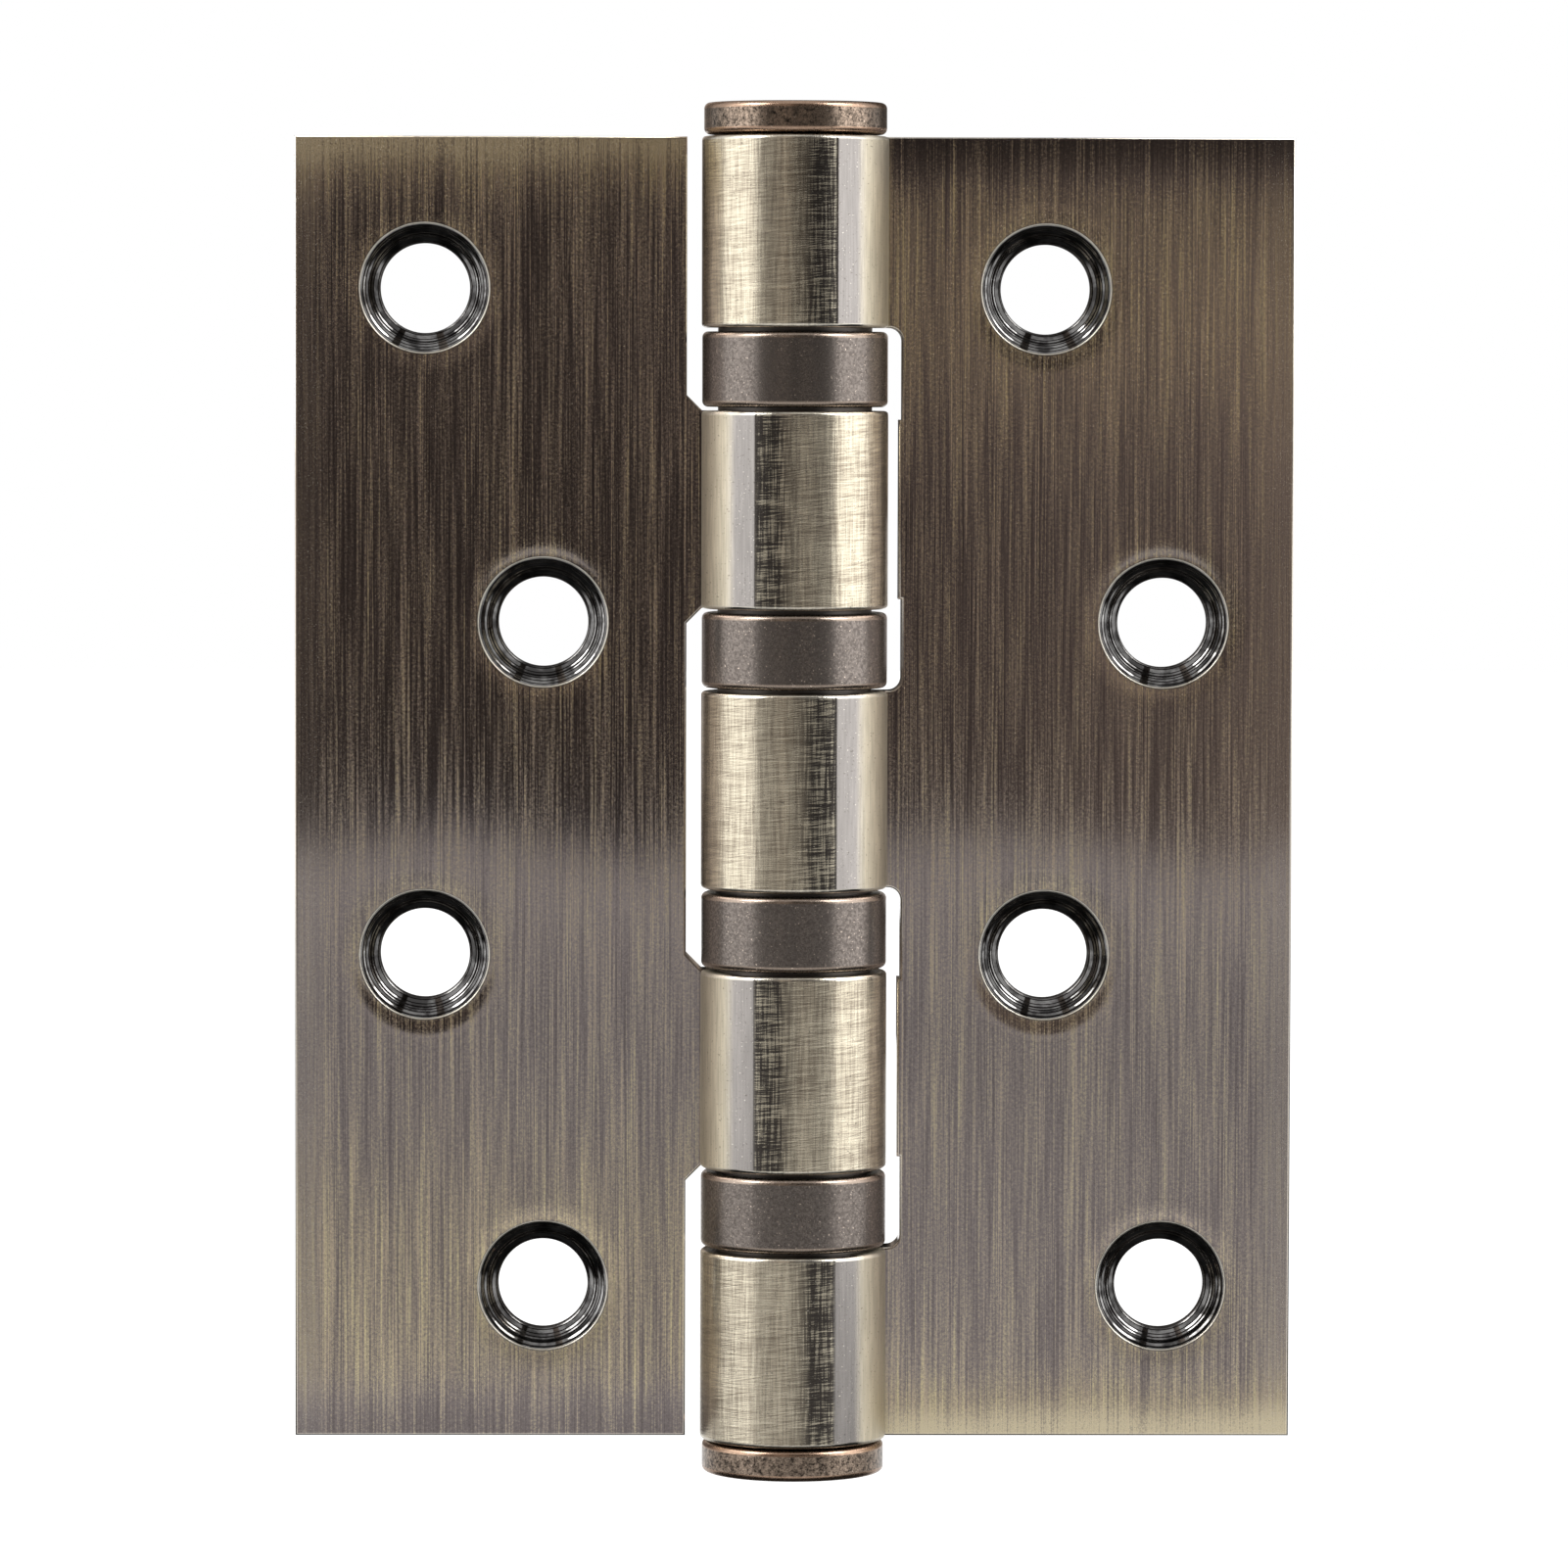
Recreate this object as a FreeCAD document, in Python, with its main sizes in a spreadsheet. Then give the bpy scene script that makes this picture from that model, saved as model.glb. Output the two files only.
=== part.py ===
# Loose pin hinge, millimetres.
#
# Two folded sheet leaves interlock on one loose pin. Each leaf's tabs are rolled round the pin as
# knuckles: three on the frame leaf, two on the door leaf. A thrust bearing cartridge stands
# between each pair of knuckles, and a plug closes the bottom one.
#
# Frame: +Z up along the pin axis, +X along the frame leaf, -Y out of the countersunk faces.
# The origin lies on the pin axis at half the leaf height, with the hinge laid open flat.

import FreeCAD, Part
import Sketcher
import math
import os

Vector = FreeCAD.Vector

doc = FreeCAD.newDocument("loose_pin_hinge")


# Driving sizes: name, value, what it measures

SIZES = [
    ("leaf_height", 101.6, "height of both leaves"),
    ("leaf_reach", 38.95, "pin axis to the free edge of a leaf"),
    ("sheet_gauge", 3.0, "thickness of the folded sheet"),
    ("leaf_setback", 0.75, "pin axis to the countersunk face, half the gap of the closed leaves"),
    ("root_bend", 0.4, "inside radius of the bend from a leaf into its knuckles"),
    ("seam_gap", 0.18, "slit between a knuckle's rolled end and its leaf"),
    ("knuckle_length", 15.38, "length of the three middle knuckles"),
    ("knuckle_bevel", 0.3, "bevel round a knuckle's rim"),
    ("frame_slot_gap", 0.86, "barrel to the slot edge of the frame leaf"),
    ("door_slot_gap", 1.15, "barrel to the slot edge of the door leaf"),
    ("relief_depth", 0.24, "extra slot depth beside a bearing in the frame leaf"),
    ("relief_overlap", 0.7, "how far that relief runs past the knuckle's rim"),
    ("slot_round", 1.0, "rounded slot corner of the frame leaf"),
    ("slot_chamfer", 1.2, "chamfered slot corner of the door leaf"),
    ("hole_pitch", 26.0, "height step from one screw hole to the next"),
    ("outer_inset", 10.11, "free edge to the outer row of screw holes"),
    ("inner_inset", 19.36, "free edge to the inner row of screw holes"),
    ("hole_radius", 3.5, "screw hole"),
    ("sink_radius", 5.0, "rim of the countersink"),
    ("sink_lip", 0.25, "straight lip above the countersink's cone"),
    ("sink_angle", 82.0, "countersink cone, degrees"),
    ("pin_radius", 4.2, "pin shaft"),
    ("pin_clearance", 0.07, "running clearance of the pin in the knuckles"),
    ("pin_tip", 1.2, "tapered tip of the pin"),
    ("tip_gap", 0.6, "pin tip to the plug"),
    ("button_radius", 7.1, "button head and button plug"),
    ("button_height", 2.45, "height of a button"),
    ("button_round", 0.45, "rounded rim of a button"),
    ("button_seat", 0.15, "raised seat that holds a button's rim off the knuckle"),
    ("seat_radius", 5.8, "radius of that raised seat"),
    ("plug_shank", 7.0, "depth of the plug in the bottom knuckle"),
    ("knockout_radius", 1.4, "hole through the plug for driving the pin out"),
    ("bearing_space", 6.45, "knuckle face to knuckle face at a bearing"),
    ("shell_height", 5.85, "bearing shell"),
    ("shell_radius", 7.22, "outside of the bearing shell"),
    ("shell_wall", 0.55, "sheet of the bearing shell"),
    ("shell_round", 0.45, "crimped rim of the bearing shell"),
    ("boss_radius", 6.0, "boss of a race that stands out of the shell"),
    ("lip_clearance", 0.15, "race boss to the shell's crimped lip"),
    ("race_clearance", 0.12, "pin to the bore of a race"),
    ("race_play", 0.08, "play of the upper race inside the shell"),
    ("groove_depth", 0.35, "depth of the ball groove in a race"),
    ("ball_radius", 1.0, "bearing ball"),
    ("ball_play", 0.02, "ball to the bottom of its groove"),
    ("ball_count", 14, "balls in one bearing"),
]

sheet = doc.addObject("Spreadsheet::Sheet", "Sizes")
for row, (alias, number, meaning) in enumerate(SIZES, start=1):
    sheet.set("A%d" % row, str(number))
    sheet.set("B%d" % row, meaning)
    sheet.setAlias("A%d" % row, alias)
doc.recompute()


class Size:
    """A length that carries its formula over the sheet and its present value."""

    def __init__(self, text, value):
        self.text = text
        self.value = float(value)

    def __add__(self, other):
        other = as_size(other)
        return Size("(%s + %s)" % (self.text, other.text), self.value + other.value)

    def __sub__(self, other):
        other = as_size(other)
        return Size("(%s - %s)" % (self.text, other.text), self.value - other.value)

    def __mul__(self, factor):
        factor = as_size(factor)
        return Size("(%s * %s)" % (self.text, factor.text), self.value * factor.value)

    def __truediv__(self, factor):
        factor = as_size(factor)
        return Size("(%s / %s)" % (self.text, factor.text), self.value / factor.value)

    def __neg__(self):
        return Size("(-%s)" % self.text, -self.value)


def as_size(number):
    return number if isinstance(number, Size) else Size("%g" % number, number)


def size(alias):
    return Size("Sizes." + alias, getattr(sheet, alias))


ZERO = as_size(0)
TOLERANCE = 1e-4

# Lengths and places worked out from the sheet

bore_radius = size("pin_radius") + size("pin_clearance")
barrel_radius = bore_radius + size("sheet_gauge")
leaf_end = size("leaf_height") / 2
front_face = size("leaf_setback")
back_face = front_face + size("sheet_gauge")

middle_face = size("knuckle_length") / 2
second_low = middle_face + size("bearing_space")
second_high = second_low + size("knuckle_length")
first_face = second_high + size("bearing_space")

lower_bearing = middle_face + size("bearing_space") / 2
upper_bearing = second_high + size("bearing_space") / 2

race_bore = size("pin_radius") + size("race_clearance")
shell_inside = size("shell_radius") - size("shell_wall")
shell_ceiling = size("shell_height") / 2 - size("shell_wall")
race_face = size("ball_radius") - size("groove_depth")
ball_pitch = (race_bore + shell_inside) / 2


# Helpers for bodies and sketches

def new_body(label):
    body = doc.addObject("PartDesign::Body", label)
    body.Label = label
    return body


def origin_feature(body, role):
    return [f for f in body.Origin.OriginFeatures if f.Role == role][0]


def new_sketch(body, name, plane="XZ_Plane", depth=None):
    """A sketch on an origin plane; depth moves it along +Y from the XZ plane."""
    sketch = body.newObject("Sketcher::SketchObject", name)
    sketch.AttachmentSupport = [(origin_feature(body, plane), "")]
    sketch.MapMode = "FlatFace"
    if depth is not None:
        sketch.setExpression("AttachmentOffset.Base.z", (-depth).text)
    return sketch


def bind(target, name, length):
    target.setExpression(name, length.text)


def dimension(sketch, kind, first, second, length):
    """Set one dimension between two sketch points, tied to the sheet."""
    index = sketch.addConstraint(Sketcher.Constraint(kind, *first, *second, length.value))
    sketch.setExpression("Constraints[%d]" % index, length.text)


def place_point(sketch, point, across=None, up=None):
    """Dimension a point from the sketch's origin, or put it on an axis."""
    origin = (-1, 1)
    for kind, axis, length in (("DistanceX", -2, across), ("DistanceY", -1, up)):
        if length is None:
            continue
        if length.text == ZERO.text:
            sketch.addConstraint(Sketcher.Constraint("PointOnObject", *point, axis))
        else:
            dimension(sketch, kind, origin, point, length)


def draw_outline(sketch, corners):
    """A closed outline of straight lines through corners given as (across, up) lengths.

    A line that runs level or upright is constrained so, and each level is dimensioned once.
    """
    first_line = sketch.GeometryCount
    count = len(corners)
    for i, (across, up) in enumerate(corners):
        next_across, next_up = corners[(i + 1) % count]
        sketch.addGeometry(Part.LineSegment(
            Vector(across.value, up.value, 0), Vector(next_across.value, next_up.value, 0)))
    for i in range(count):
        line = first_line + i
        following = first_line + (i + 1) % count
        sketch.addConstraint(Sketcher.Constraint("Coincident", line, 2, following, 1))
    for axis, kind in ((0, "Vertical"), (1, "Horizontal")):
        for i, corner in enumerate(corners):
            before = corners[i - 1]
            if i and corner[axis].text == before[axis].text:
                sketch.addConstraint(Sketcher.Constraint(kind, first_line + i - 1))
            elif i == count - 1 and corner[axis].text == corners[0][axis].text:
                sketch.addConstraint(Sketcher.Constraint(kind, first_line + i))
            else:
                point = (first_line + i, 1)
                place_point(sketch, point, **{("across", "up")[axis]: corner[axis]})


def add_turned(body, name, corners):
    """Revolve an outline of (radius, height) corners about the pin axis."""
    sketch = new_sketch(body, name + "_outline")
    draw_outline(sketch, corners)
    doc.recompute()
    turned = body.newObject("PartDesign::Revolution", name)
    turned.Profile = sketch
    turned.ReferenceAxis = (origin_feature(body, "Z_Axis"), [""])
    turned.Angle = 360
    doc.recompute()
    return turned


def edges_where(feature, wanted):
    return ["Edge%d" % (i + 1) for i, edge in enumerate(feature.Shape.Edges) if wanted(edge)]


def is_circle(edge, radius, height):
    curve = edge.Curve
    return (isinstance(curve, Part.Circle) and abs(curve.Radius - radius.value) < TOLERANCE
            and abs(curve.Center.z - height.value) < TOLERANCE)


def round_rims(body, name, base, rims, length):
    """Fillet the circular rims given as (radius, height) pairs."""
    fillet = body.newObject("PartDesign::Fillet", name)
    fillet.Base = (base, edges_where(
        base, lambda edge: any(is_circle(edge, radius, height) for radius, height in rims)))
    bind(fillet, "Radius", length)
    doc.recompute()
    return fillet


# Leaves: a sheet whose root bends back and rolls round the pin, slotted into knuckles

def draw_section(sketch, side):
    """Section of plate and rolled knuckle; side is +1 for the frame leaf, -1 for the door leaf."""
    bore = bore_radius.value
    barrel = barrel_radius.value
    inner_bend = size("root_bend").value
    outer_bend = (size("root_bend") + size("sheet_gauge")).value
    front = front_face.value
    back = back_face.value
    reach = side * size("leaf_reach").value
    end_height = front - size("seam_gap").value

    bend_up = back + inner_bend
    bend_across = math.sqrt((barrel + inner_bend) ** 2 - bend_up ** 2)
    touch = math.atan2(bend_up, bend_across)
    bend_centre = Vector(side * bend_across, bend_up, 0)
    centre = Vector(0, 0, 0)
    normal = Vector(0, 0, 1)

    def arc(middle, radius, start, stop):
        """An arc given by the frame leaf's angles, mirrored for the door leaf."""
        if side < 0:
            start, stop = math.pi - stop, math.pi - start
        return Part.ArcOfCircle(Part.Circle(middle, normal, radius), start, stop)

    end_of_bore = math.asin(end_height / bore) + 2 * math.pi
    end_of_barrel = math.asin(end_height / barrel) + 2 * math.pi
    bend_start = side * bend_across
    face_line = sketch.addGeometry(Part.LineSegment(Vector(reach, front, 0), Vector(bend_start, front, 0)))
    wide_bend = sketch.addGeometry(arc(bend_centre, outer_bend, math.pi + touch, 1.5 * math.pi))
    bore_arc = sketch.addGeometry(arc(centre, bore, touch, end_of_bore))
    seam_line = sketch.addGeometry(Part.LineSegment(
        Vector(side * bore * math.cos(end_of_bore), end_height, 0),
        Vector(side * barrel * math.cos(end_of_barrel), end_height, 0)))
    barrel_arc = sketch.addGeometry(arc(centre, barrel, touch, end_of_barrel))
    tight_bend = sketch.addGeometry(arc(bend_centre, inner_bend, math.pi + touch, 1.5 * math.pi))
    back_line = sketch.addGeometry(Part.LineSegment(Vector(bend_start, back, 0), Vector(reach, back, 0)))
    edge_line = sketch.addGeometry(Part.LineSegment(Vector(reach, back, 0), Vector(reach, front, 0)))

    # An arc's first point is its start by angle, so the mirrored leaf swaps them
    start, stop = (1, 2) if side > 0 else (2, 1)
    for kind, joint in (
        ("Tangent", (face_line, 2, wide_bend, stop)),
        ("Tangent", (wide_bend, start, bore_arc, start)),
        ("Coincident", (bore_arc, stop, seam_line, 1)),
        ("Coincident", (seam_line, 2, barrel_arc, stop)),
        ("Tangent", (barrel_arc, start, tight_bend, start)),
        ("Tangent", (tight_bend, stop, back_line, 1)),
        ("Coincident", (back_line, 2, edge_line, 1)),
        ("Coincident", (edge_line, 2, face_line, 1)),
        ("Coincident", (bore_arc, 3, -1, 1)),
        ("Coincident", (barrel_arc, 3, -1, 1)),
        ("Coincident", (wide_bend, 3, tight_bend, 3)),
        ("Horizontal", (face_line,)),
        ("Horizontal", (back_line,)),
        ("Horizontal", (seam_line,)),
        ("Vertical", (edge_line,)),
    ):
        sketch.addConstraint(Sketcher.Constraint(kind, *joint))
    for arc_index, radius in ((bore_arc, bore_radius), (tight_bend, size("root_bend"))):
        index = sketch.addConstraint(Sketcher.Constraint("Radius", arc_index, radius.value))
        sketch.setExpression("Constraints[%d]" % index, radius.text)
    place_point(sketch, (edge_line, 2), across=size("leaf_reach") * side, up=front_face)
    place_point(sketch, (edge_line, 1), up=back_face)
    place_point(sketch, (seam_line, 1), up=front_face - size("seam_gap"))


def frame_slots():
    """Outlines of the two slots that the door leaf's knuckles and the bearings pass through."""
    shallow = barrel_radius + size("frame_slot_gap")
    deep = shallow + size("relief_depth")
    far = -(barrel_radius + size("sheet_gauge"))
    low_relief = second_low + size("relief_overlap")
    high_relief = second_high - size("relief_overlap")
    upper = [
        (far, middle_face), (deep, middle_face), (deep, low_relief), (shallow, low_relief),
        (shallow, high_relief), (deep, high_relief), (deep, first_face), (far, first_face)]
    lower = [(across, -up) for across, up in upper]
    return [upper, lower]


def door_slots():
    """Outlines of the middle slot and of the open slots at both ends of the door leaf."""
    edge = -(barrel_radius + size("door_slot_gap"))
    far = barrel_radius + size("sheet_gauge")
    beyond = leaf_end + size("sheet_gauge")
    middle = [(edge, -second_low), (far, -second_low), (far, second_low), (edge, second_low)]
    top = [(edge, second_high), (far, second_high), (far, beyond), (edge, beyond)]
    bottom = [(across, -up) for across, up in top]
    return [middle, top, bottom]


def hole_centres(side):
    """Screw holes from the top down: they step between the outer and the inner row."""
    outer = (size("leaf_reach") - size("outer_inset")) * side
    inner = (size("leaf_reach") - size("inner_inset")) * side
    rows = [inner, outer, inner, outer] if side > 0 else [outer, inner, outer, inner]
    return [(row, size("hole_pitch") * step) for row, step in zip(rows, (1.5, 0.5, -0.5, -1.5))]


def draw_circles(sketch, centres, radius):
    for across, up in centres:
        circle = sketch.addGeometry(Part.Circle(
            Vector(across.value, up.value, 0), Vector(0, 0, 1), radius.value))
        index = sketch.addConstraint(Sketcher.Constraint("Radius", circle, radius.value))
        sketch.setExpression("Constraints[%d]" % index, radius.text)
        place_point(sketch, (circle, 3), across, up)


def is_slot_corner(edge, across, heights):
    box = edge.BoundBox
    return (box.XLength < TOLERANCE and box.ZLength < TOLERANCE
            and abs(box.Center.x - across.value) < TOLERANCE
            and any(abs(abs(box.Center.z) - height.value) < TOLERANCE for height in heights))


def make_leaf(label, side, slots, corner_kind, corner_size, corner_across, corner_heights, rims):
    """One leaf: fold the sheet, cut the slots, finish their corners, countersink, bevel the knuckles."""
    body = new_body(label)

    section = new_sketch(body, label + "_section", "XY_Plane")
    draw_section(section, side)
    doc.recompute()
    folded = body.newObject("PartDesign::Pad", label + "_folded")
    folded.Profile = section
    folded.Midplane = True
    bind(folded, "Length", size("leaf_height"))
    doc.recompute()

    slot_sketch = new_sketch(body, label + "_slot_outline")
    for outline in slots:
        draw_outline(slot_sketch, outline)
    doc.recompute()
    slotted = body.newObject("PartDesign::Pocket", label + "_slotted")
    slotted.Profile = slot_sketch
    slotted.Type = "ThroughAll"
    slotted.Midplane = True
    doc.recompute()

    cornered = body.newObject("PartDesign::" + corner_kind, label + "_slot_corners")
    cornered.Base = (slotted, edges_where(
        slotted, lambda edge: is_slot_corner(edge, corner_across, corner_heights)))
    bind(cornered, "Radius" if corner_kind == "Fillet" else "Size", corner_size)
    doc.recompute()

    lip_sketch = new_sketch(body, label + "_lip_circles")
    draw_circles(lip_sketch, hole_centres(side), size("sink_radius"))
    doc.recompute()
    lips = body.newObject("PartDesign::Pocket", label + "_lips")
    lips.Profile = lip_sketch
    bind(lips, "Length", front_face + size("sink_lip"))
    doc.recompute()

    hole_sketch = new_sketch(body, label + "_hole_circles", depth=front_face + size("sink_lip"))
    draw_circles(hole_sketch, hole_centres(side), size("hole_radius"))
    doc.recompute()
    holes = body.newObject("PartDesign::Hole", label + "_screw_holes")
    holes.Profile = hole_sketch
    doc.recompute()
    holes.DepthType = "ThroughAll"
    holes.HoleCutType = "Countersink"
    holes.HoleCutCustomValues = True
    bind(holes, "Diameter", size("hole_radius") * 2)
    bind(holes, "HoleCutDiameter", size("sink_radius") * 2)
    bind(holes, "HoleCutCountersinkAngle", size("sink_angle"))
    doc.recompute()

    bevel_sketch = new_sketch(body, label + "_bevel_outline")
    bevel = size("knuckle_bevel")
    for height, inward in rims:
        draw_outline(bevel_sketch, [
            (barrel_radius - bevel, height), (barrel_radius, height),
            (barrel_radius, height + bevel * inward)])
    doc.recompute()
    bevelled = body.newObject("PartDesign::Groove", label + "_knuckle_bevels")
    bevelled.Profile = bevel_sketch
    bevelled.ReferenceAxis = (origin_feature(body, "Z_Axis"), [""])
    bevelled.Angle = 360
    doc.recompute()

    for before, after in ((folded, slotted), (slotted, cornered), (cornered, lips),
                          (lips, holes), (holes, bevelled)):
        change = after.Shape.Volume - before.Shape.Volume
        print("%-28s %10.3f mm3" % (after.Label, change))
        if abs(change) < TOLERANCE:
            raise RuntimeError(after.Label + " changed nothing")
    body.Tip = bevelled
    return body


frame_leaf = make_leaf(
    "frame_leaf", 1, frame_slots(), "Fillet", size("slot_round"),
    barrel_radius + size("frame_slot_gap") + size("relief_depth"), [middle_face, first_face],
    [(leaf_end, -1), (first_face, 1), (middle_face, -1),
     (-middle_face, 1), (-first_face, -1), (-leaf_end, 1)])

door_leaf = make_leaf(
    "door_leaf", -1, door_slots(), "Chamfer", size("slot_chamfer"),
    -(barrel_radius + size("door_slot_gap")), [second_low, second_high],
    [(second_high, -1), (second_low, 1), (-second_low, -1), (-second_high, 1)])


# Loose pin: a shaft through all knuckles under a flat button head

def make_pin():
    body = new_body("pin")
    radius = size("pin_radius")
    tip = size("pin_tip")
    foot = size("plug_shank") + size("tip_gap") - leaf_end
    rim_low = leaf_end + size("button_seat")
    rim_high = rim_low + size("button_height")
    turned = add_turned(body, "pin_turned", [
        (ZERO, foot), (radius - tip / 2, foot), (radius, foot + tip), (radius, leaf_end),
        (size("seat_radius"), leaf_end), (size("seat_radius"), rim_low),
        (size("button_radius"), rim_low), (size("button_radius"), rim_high), (ZERO, rim_high)])
    rims = [(size("button_radius"), rim_low), (size("button_radius"), rim_high)]
    round_rims(body, "pin_button_rims", turned, rims, size("button_round"))
    return body


# Bottom plug: the matching button, pressed into the last knuckle, with a hole for driving the pin out

def make_plug():
    body = new_body("bottom_plug")
    top = size("plug_shank") - leaf_end
    rim_high = -(leaf_end + size("button_seat"))
    rim_low = rim_high - size("button_height")
    turned = add_turned(body, "plug_turned", [
        (size("knockout_radius"), rim_low), (size("button_radius"), rim_low),
        (size("button_radius"), rim_high), (size("seat_radius"), rim_high),
        (size("seat_radius"), -leaf_end), (bore_radius, -leaf_end),
        (bore_radius, top), (size("knockout_radius"), top)])
    rims = [(size("button_radius"), rim_low), (size("button_radius"), rim_high)]
    round_rims(body, "plug_button_rims", turned, rims, size("button_round"))
    return body


# Bearing cartridge: a crimped shell round two grooved races and a ring of balls

def make_shell(label, height):
    body = new_body(label)
    outside = size("shell_radius")
    lip = size("boss_radius") + size("lip_clearance")
    end = size("shell_height") / 2
    turned = add_turned(body, label + "_turned", [
        (lip, -end), (outside, -end), (outside, end), (lip, end), (lip, shell_ceiling),
        (shell_inside, shell_ceiling), (shell_inside, -shell_ceiling), (lip, -shell_ceiling)])
    rims = [(outside, -end), (outside, end)]
    round_rims(body, label + "_crimped_rims", turned, rims, size("shell_round"))
    bind(body, "Placement.Base.z", height)
    return body


def make_race(label, height, facing, play):
    """A race whose boss points up (facing +1) or down (-1); play is its looseness in the shell."""
    body = new_body(label)
    seat = size("bearing_space") / 2 * facing
    flange = (shell_ceiling - play) * facing
    face = race_face * facing
    rim = shell_inside - play
    turned = add_turned(body, label + "_turned", [
        (race_bore, face), (rim, face), (rim, flange),
        (size("boss_radius"), flange), (size("boss_radius"), seat), (race_bore, seat)])
    groove_radius = size("ball_radius") + size("ball_play")
    groove_sketch = new_sketch(body, label + "_groove_circle")
    draw_circles(groove_sketch, [(ball_pitch, ZERO)], groove_radius)
    doc.recompute()
    groove = body.newObject("PartDesign::Groove", label + "_ball_groove")
    groove.Profile = groove_sketch
    groove.ReferenceAxis = (origin_feature(body, "Z_Axis"), [""])
    groove.Angle = 360
    doc.recompute()
    if groove.Shape.Volume > turned.Shape.Volume - TOLERANCE:
        raise RuntimeError(label + " has no ball groove")
    bind(body, "Placement.Base.z", height)
    return body


def make_balls(label, height):
    body = new_body(label)
    sketch = new_sketch(body, label + "_half_circle")
    radius = size("ball_radius")
    pole = Vector(ball_pitch.value, radius.value, 0)
    foot = Vector(ball_pitch.value, -radius.value, 0)
    centre = Vector(ball_pitch.value, 0, 0)
    arc = sketch.addGeometry(Part.ArcOfCircle(
        Part.Circle(centre, Vector(0, 0, 1), radius.value), -math.pi / 2, math.pi / 2))
    axis_line = sketch.addGeometry(Part.LineSegment(pole, foot))
    sketch.addConstraint(Sketcher.Constraint("Coincident", arc, 2, axis_line, 1))
    sketch.addConstraint(Sketcher.Constraint("Coincident", arc, 1, axis_line, 2))
    sketch.addConstraint(Sketcher.Constraint("Vertical", axis_line))
    place_point(sketch, (arc, 3), ball_pitch, ZERO)
    place_point(sketch, (axis_line, 1), across=ball_pitch)
    index = sketch.addConstraint(Sketcher.Constraint("Radius", arc, radius.value))
    sketch.setExpression("Constraints[%d]" % index, radius.text)
    doc.recompute()
    ball = body.newObject("PartDesign::Revolution", label + "_ball")
    ball.Profile = sketch
    ball.ReferenceAxis = (sketch, ["Edge%d" % (axis_line + 1)])
    ball.Angle = 360
    doc.recompute()
    ring = body.newObject("PartDesign::PolarPattern", label + "_ring")
    ring.Originals = [ball]
    ring.Axis = (origin_feature(body, "Z_Axis"), [""])
    ring.Angle = 360
    bind(ring, "Occurrences", size("ball_count"))
    body.Tip = ring
    doc.recompute()
    bind(body, "Placement.Base.z", height)
    return body


def make_bearing(number, height):
    stem = "bearing_%d_" % number
    return [
        make_shell(stem + "shell", height),
        make_race(stem + "upper_race", height, 1, size("race_play")),
        make_race(stem + "lower_race", height, -1, ZERO),
        make_balls(stem + "balls", height)]


bodies = [frame_leaf, door_leaf, make_pin(), make_plug()]
for number, height in enumerate((upper_bearing, lower_bearing, -lower_bearing, -upper_bearing), start=1):
    bodies += make_bearing(number, height)
doc.recompute()


# Check every object, then write one file for each piece

for item in doc.Objects:
    if "Invalid" in item.State or "Error" in item.State:
        raise RuntimeError("%s is %s" % (item.Label, item.State))
for body in bodies:
    if body.Shape.isNull() or not body.Shape.isValid():
        raise RuntimeError(body.Label + " has no valid shape")

os.makedirs("parts", exist_ok=True)
for body in bodies:
    body.Shape.exportStep("parts/%s.step" % body.Label)
    print("%-24s %2d solids %10.2f mm3" % (body.Label, len(body.Shape.Solids), body.Shape.Volume))
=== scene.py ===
# %% [markdown]
# # A loose pin hinge, dressed for its photograph
#
# The hinge is two leaves of folded sheet, a pin that lifts out, a plug below it and four thrust bearings.
# The construction comes packed, with every piece at its real size and place. This script gives each piece
# its finished surface: smooth rolled knuckles, turned countersinks, brushed bronze and satin copper. It
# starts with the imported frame, and whatever needs a size takes it from there or from a named value below.

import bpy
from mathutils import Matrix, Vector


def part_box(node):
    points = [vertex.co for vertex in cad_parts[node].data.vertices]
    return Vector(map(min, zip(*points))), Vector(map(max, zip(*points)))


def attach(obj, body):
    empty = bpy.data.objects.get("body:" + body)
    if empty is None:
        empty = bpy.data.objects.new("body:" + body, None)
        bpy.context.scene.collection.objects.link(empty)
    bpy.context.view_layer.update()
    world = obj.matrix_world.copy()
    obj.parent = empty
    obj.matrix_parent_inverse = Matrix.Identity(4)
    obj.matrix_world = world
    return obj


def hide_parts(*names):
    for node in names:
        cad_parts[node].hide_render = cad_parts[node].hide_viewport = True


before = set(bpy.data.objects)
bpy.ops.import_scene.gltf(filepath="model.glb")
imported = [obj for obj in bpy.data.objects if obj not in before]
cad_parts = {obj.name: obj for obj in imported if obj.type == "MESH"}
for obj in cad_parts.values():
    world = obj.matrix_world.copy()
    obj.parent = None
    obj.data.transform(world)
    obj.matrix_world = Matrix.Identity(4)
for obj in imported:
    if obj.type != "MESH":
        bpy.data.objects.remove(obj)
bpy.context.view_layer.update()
print("Packed nodes:", len(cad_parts))

# %% [markdown]
# ## Units and node helpers
#
# Sheet metal is drawn in millimetres, and Blender works in metres here, so one constant changes between
# them. Shader trees and geometry trees are both lists of nodes and links, so the same helper can make a
# node, set its options and fill or link its inputs. Most of what the trees do is sums, and a sum reads best
# as one. So a node's output is wrapped in a small class whose signs each add one Math node, and the recipes
# below can say a * 0.8 + b.

# %% Units and new nodes
import math

import bpy
from mathutils import Matrix, Vector, geometry

MM = 0.001


def add_node(tree, kind, inputs=(), **options):
    """One node with its options; each input gets a value, or a link where the value is a signal."""
    node = tree.nodes.new(kind)
    for option, value in options.items():
        setattr(node, option, value)
    for key, value in dict(inputs).items():
        if isinstance(value, Signal):
            link(value, node.inputs[key])
        else:
            node.inputs[key].default_value = value
    return node


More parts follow.
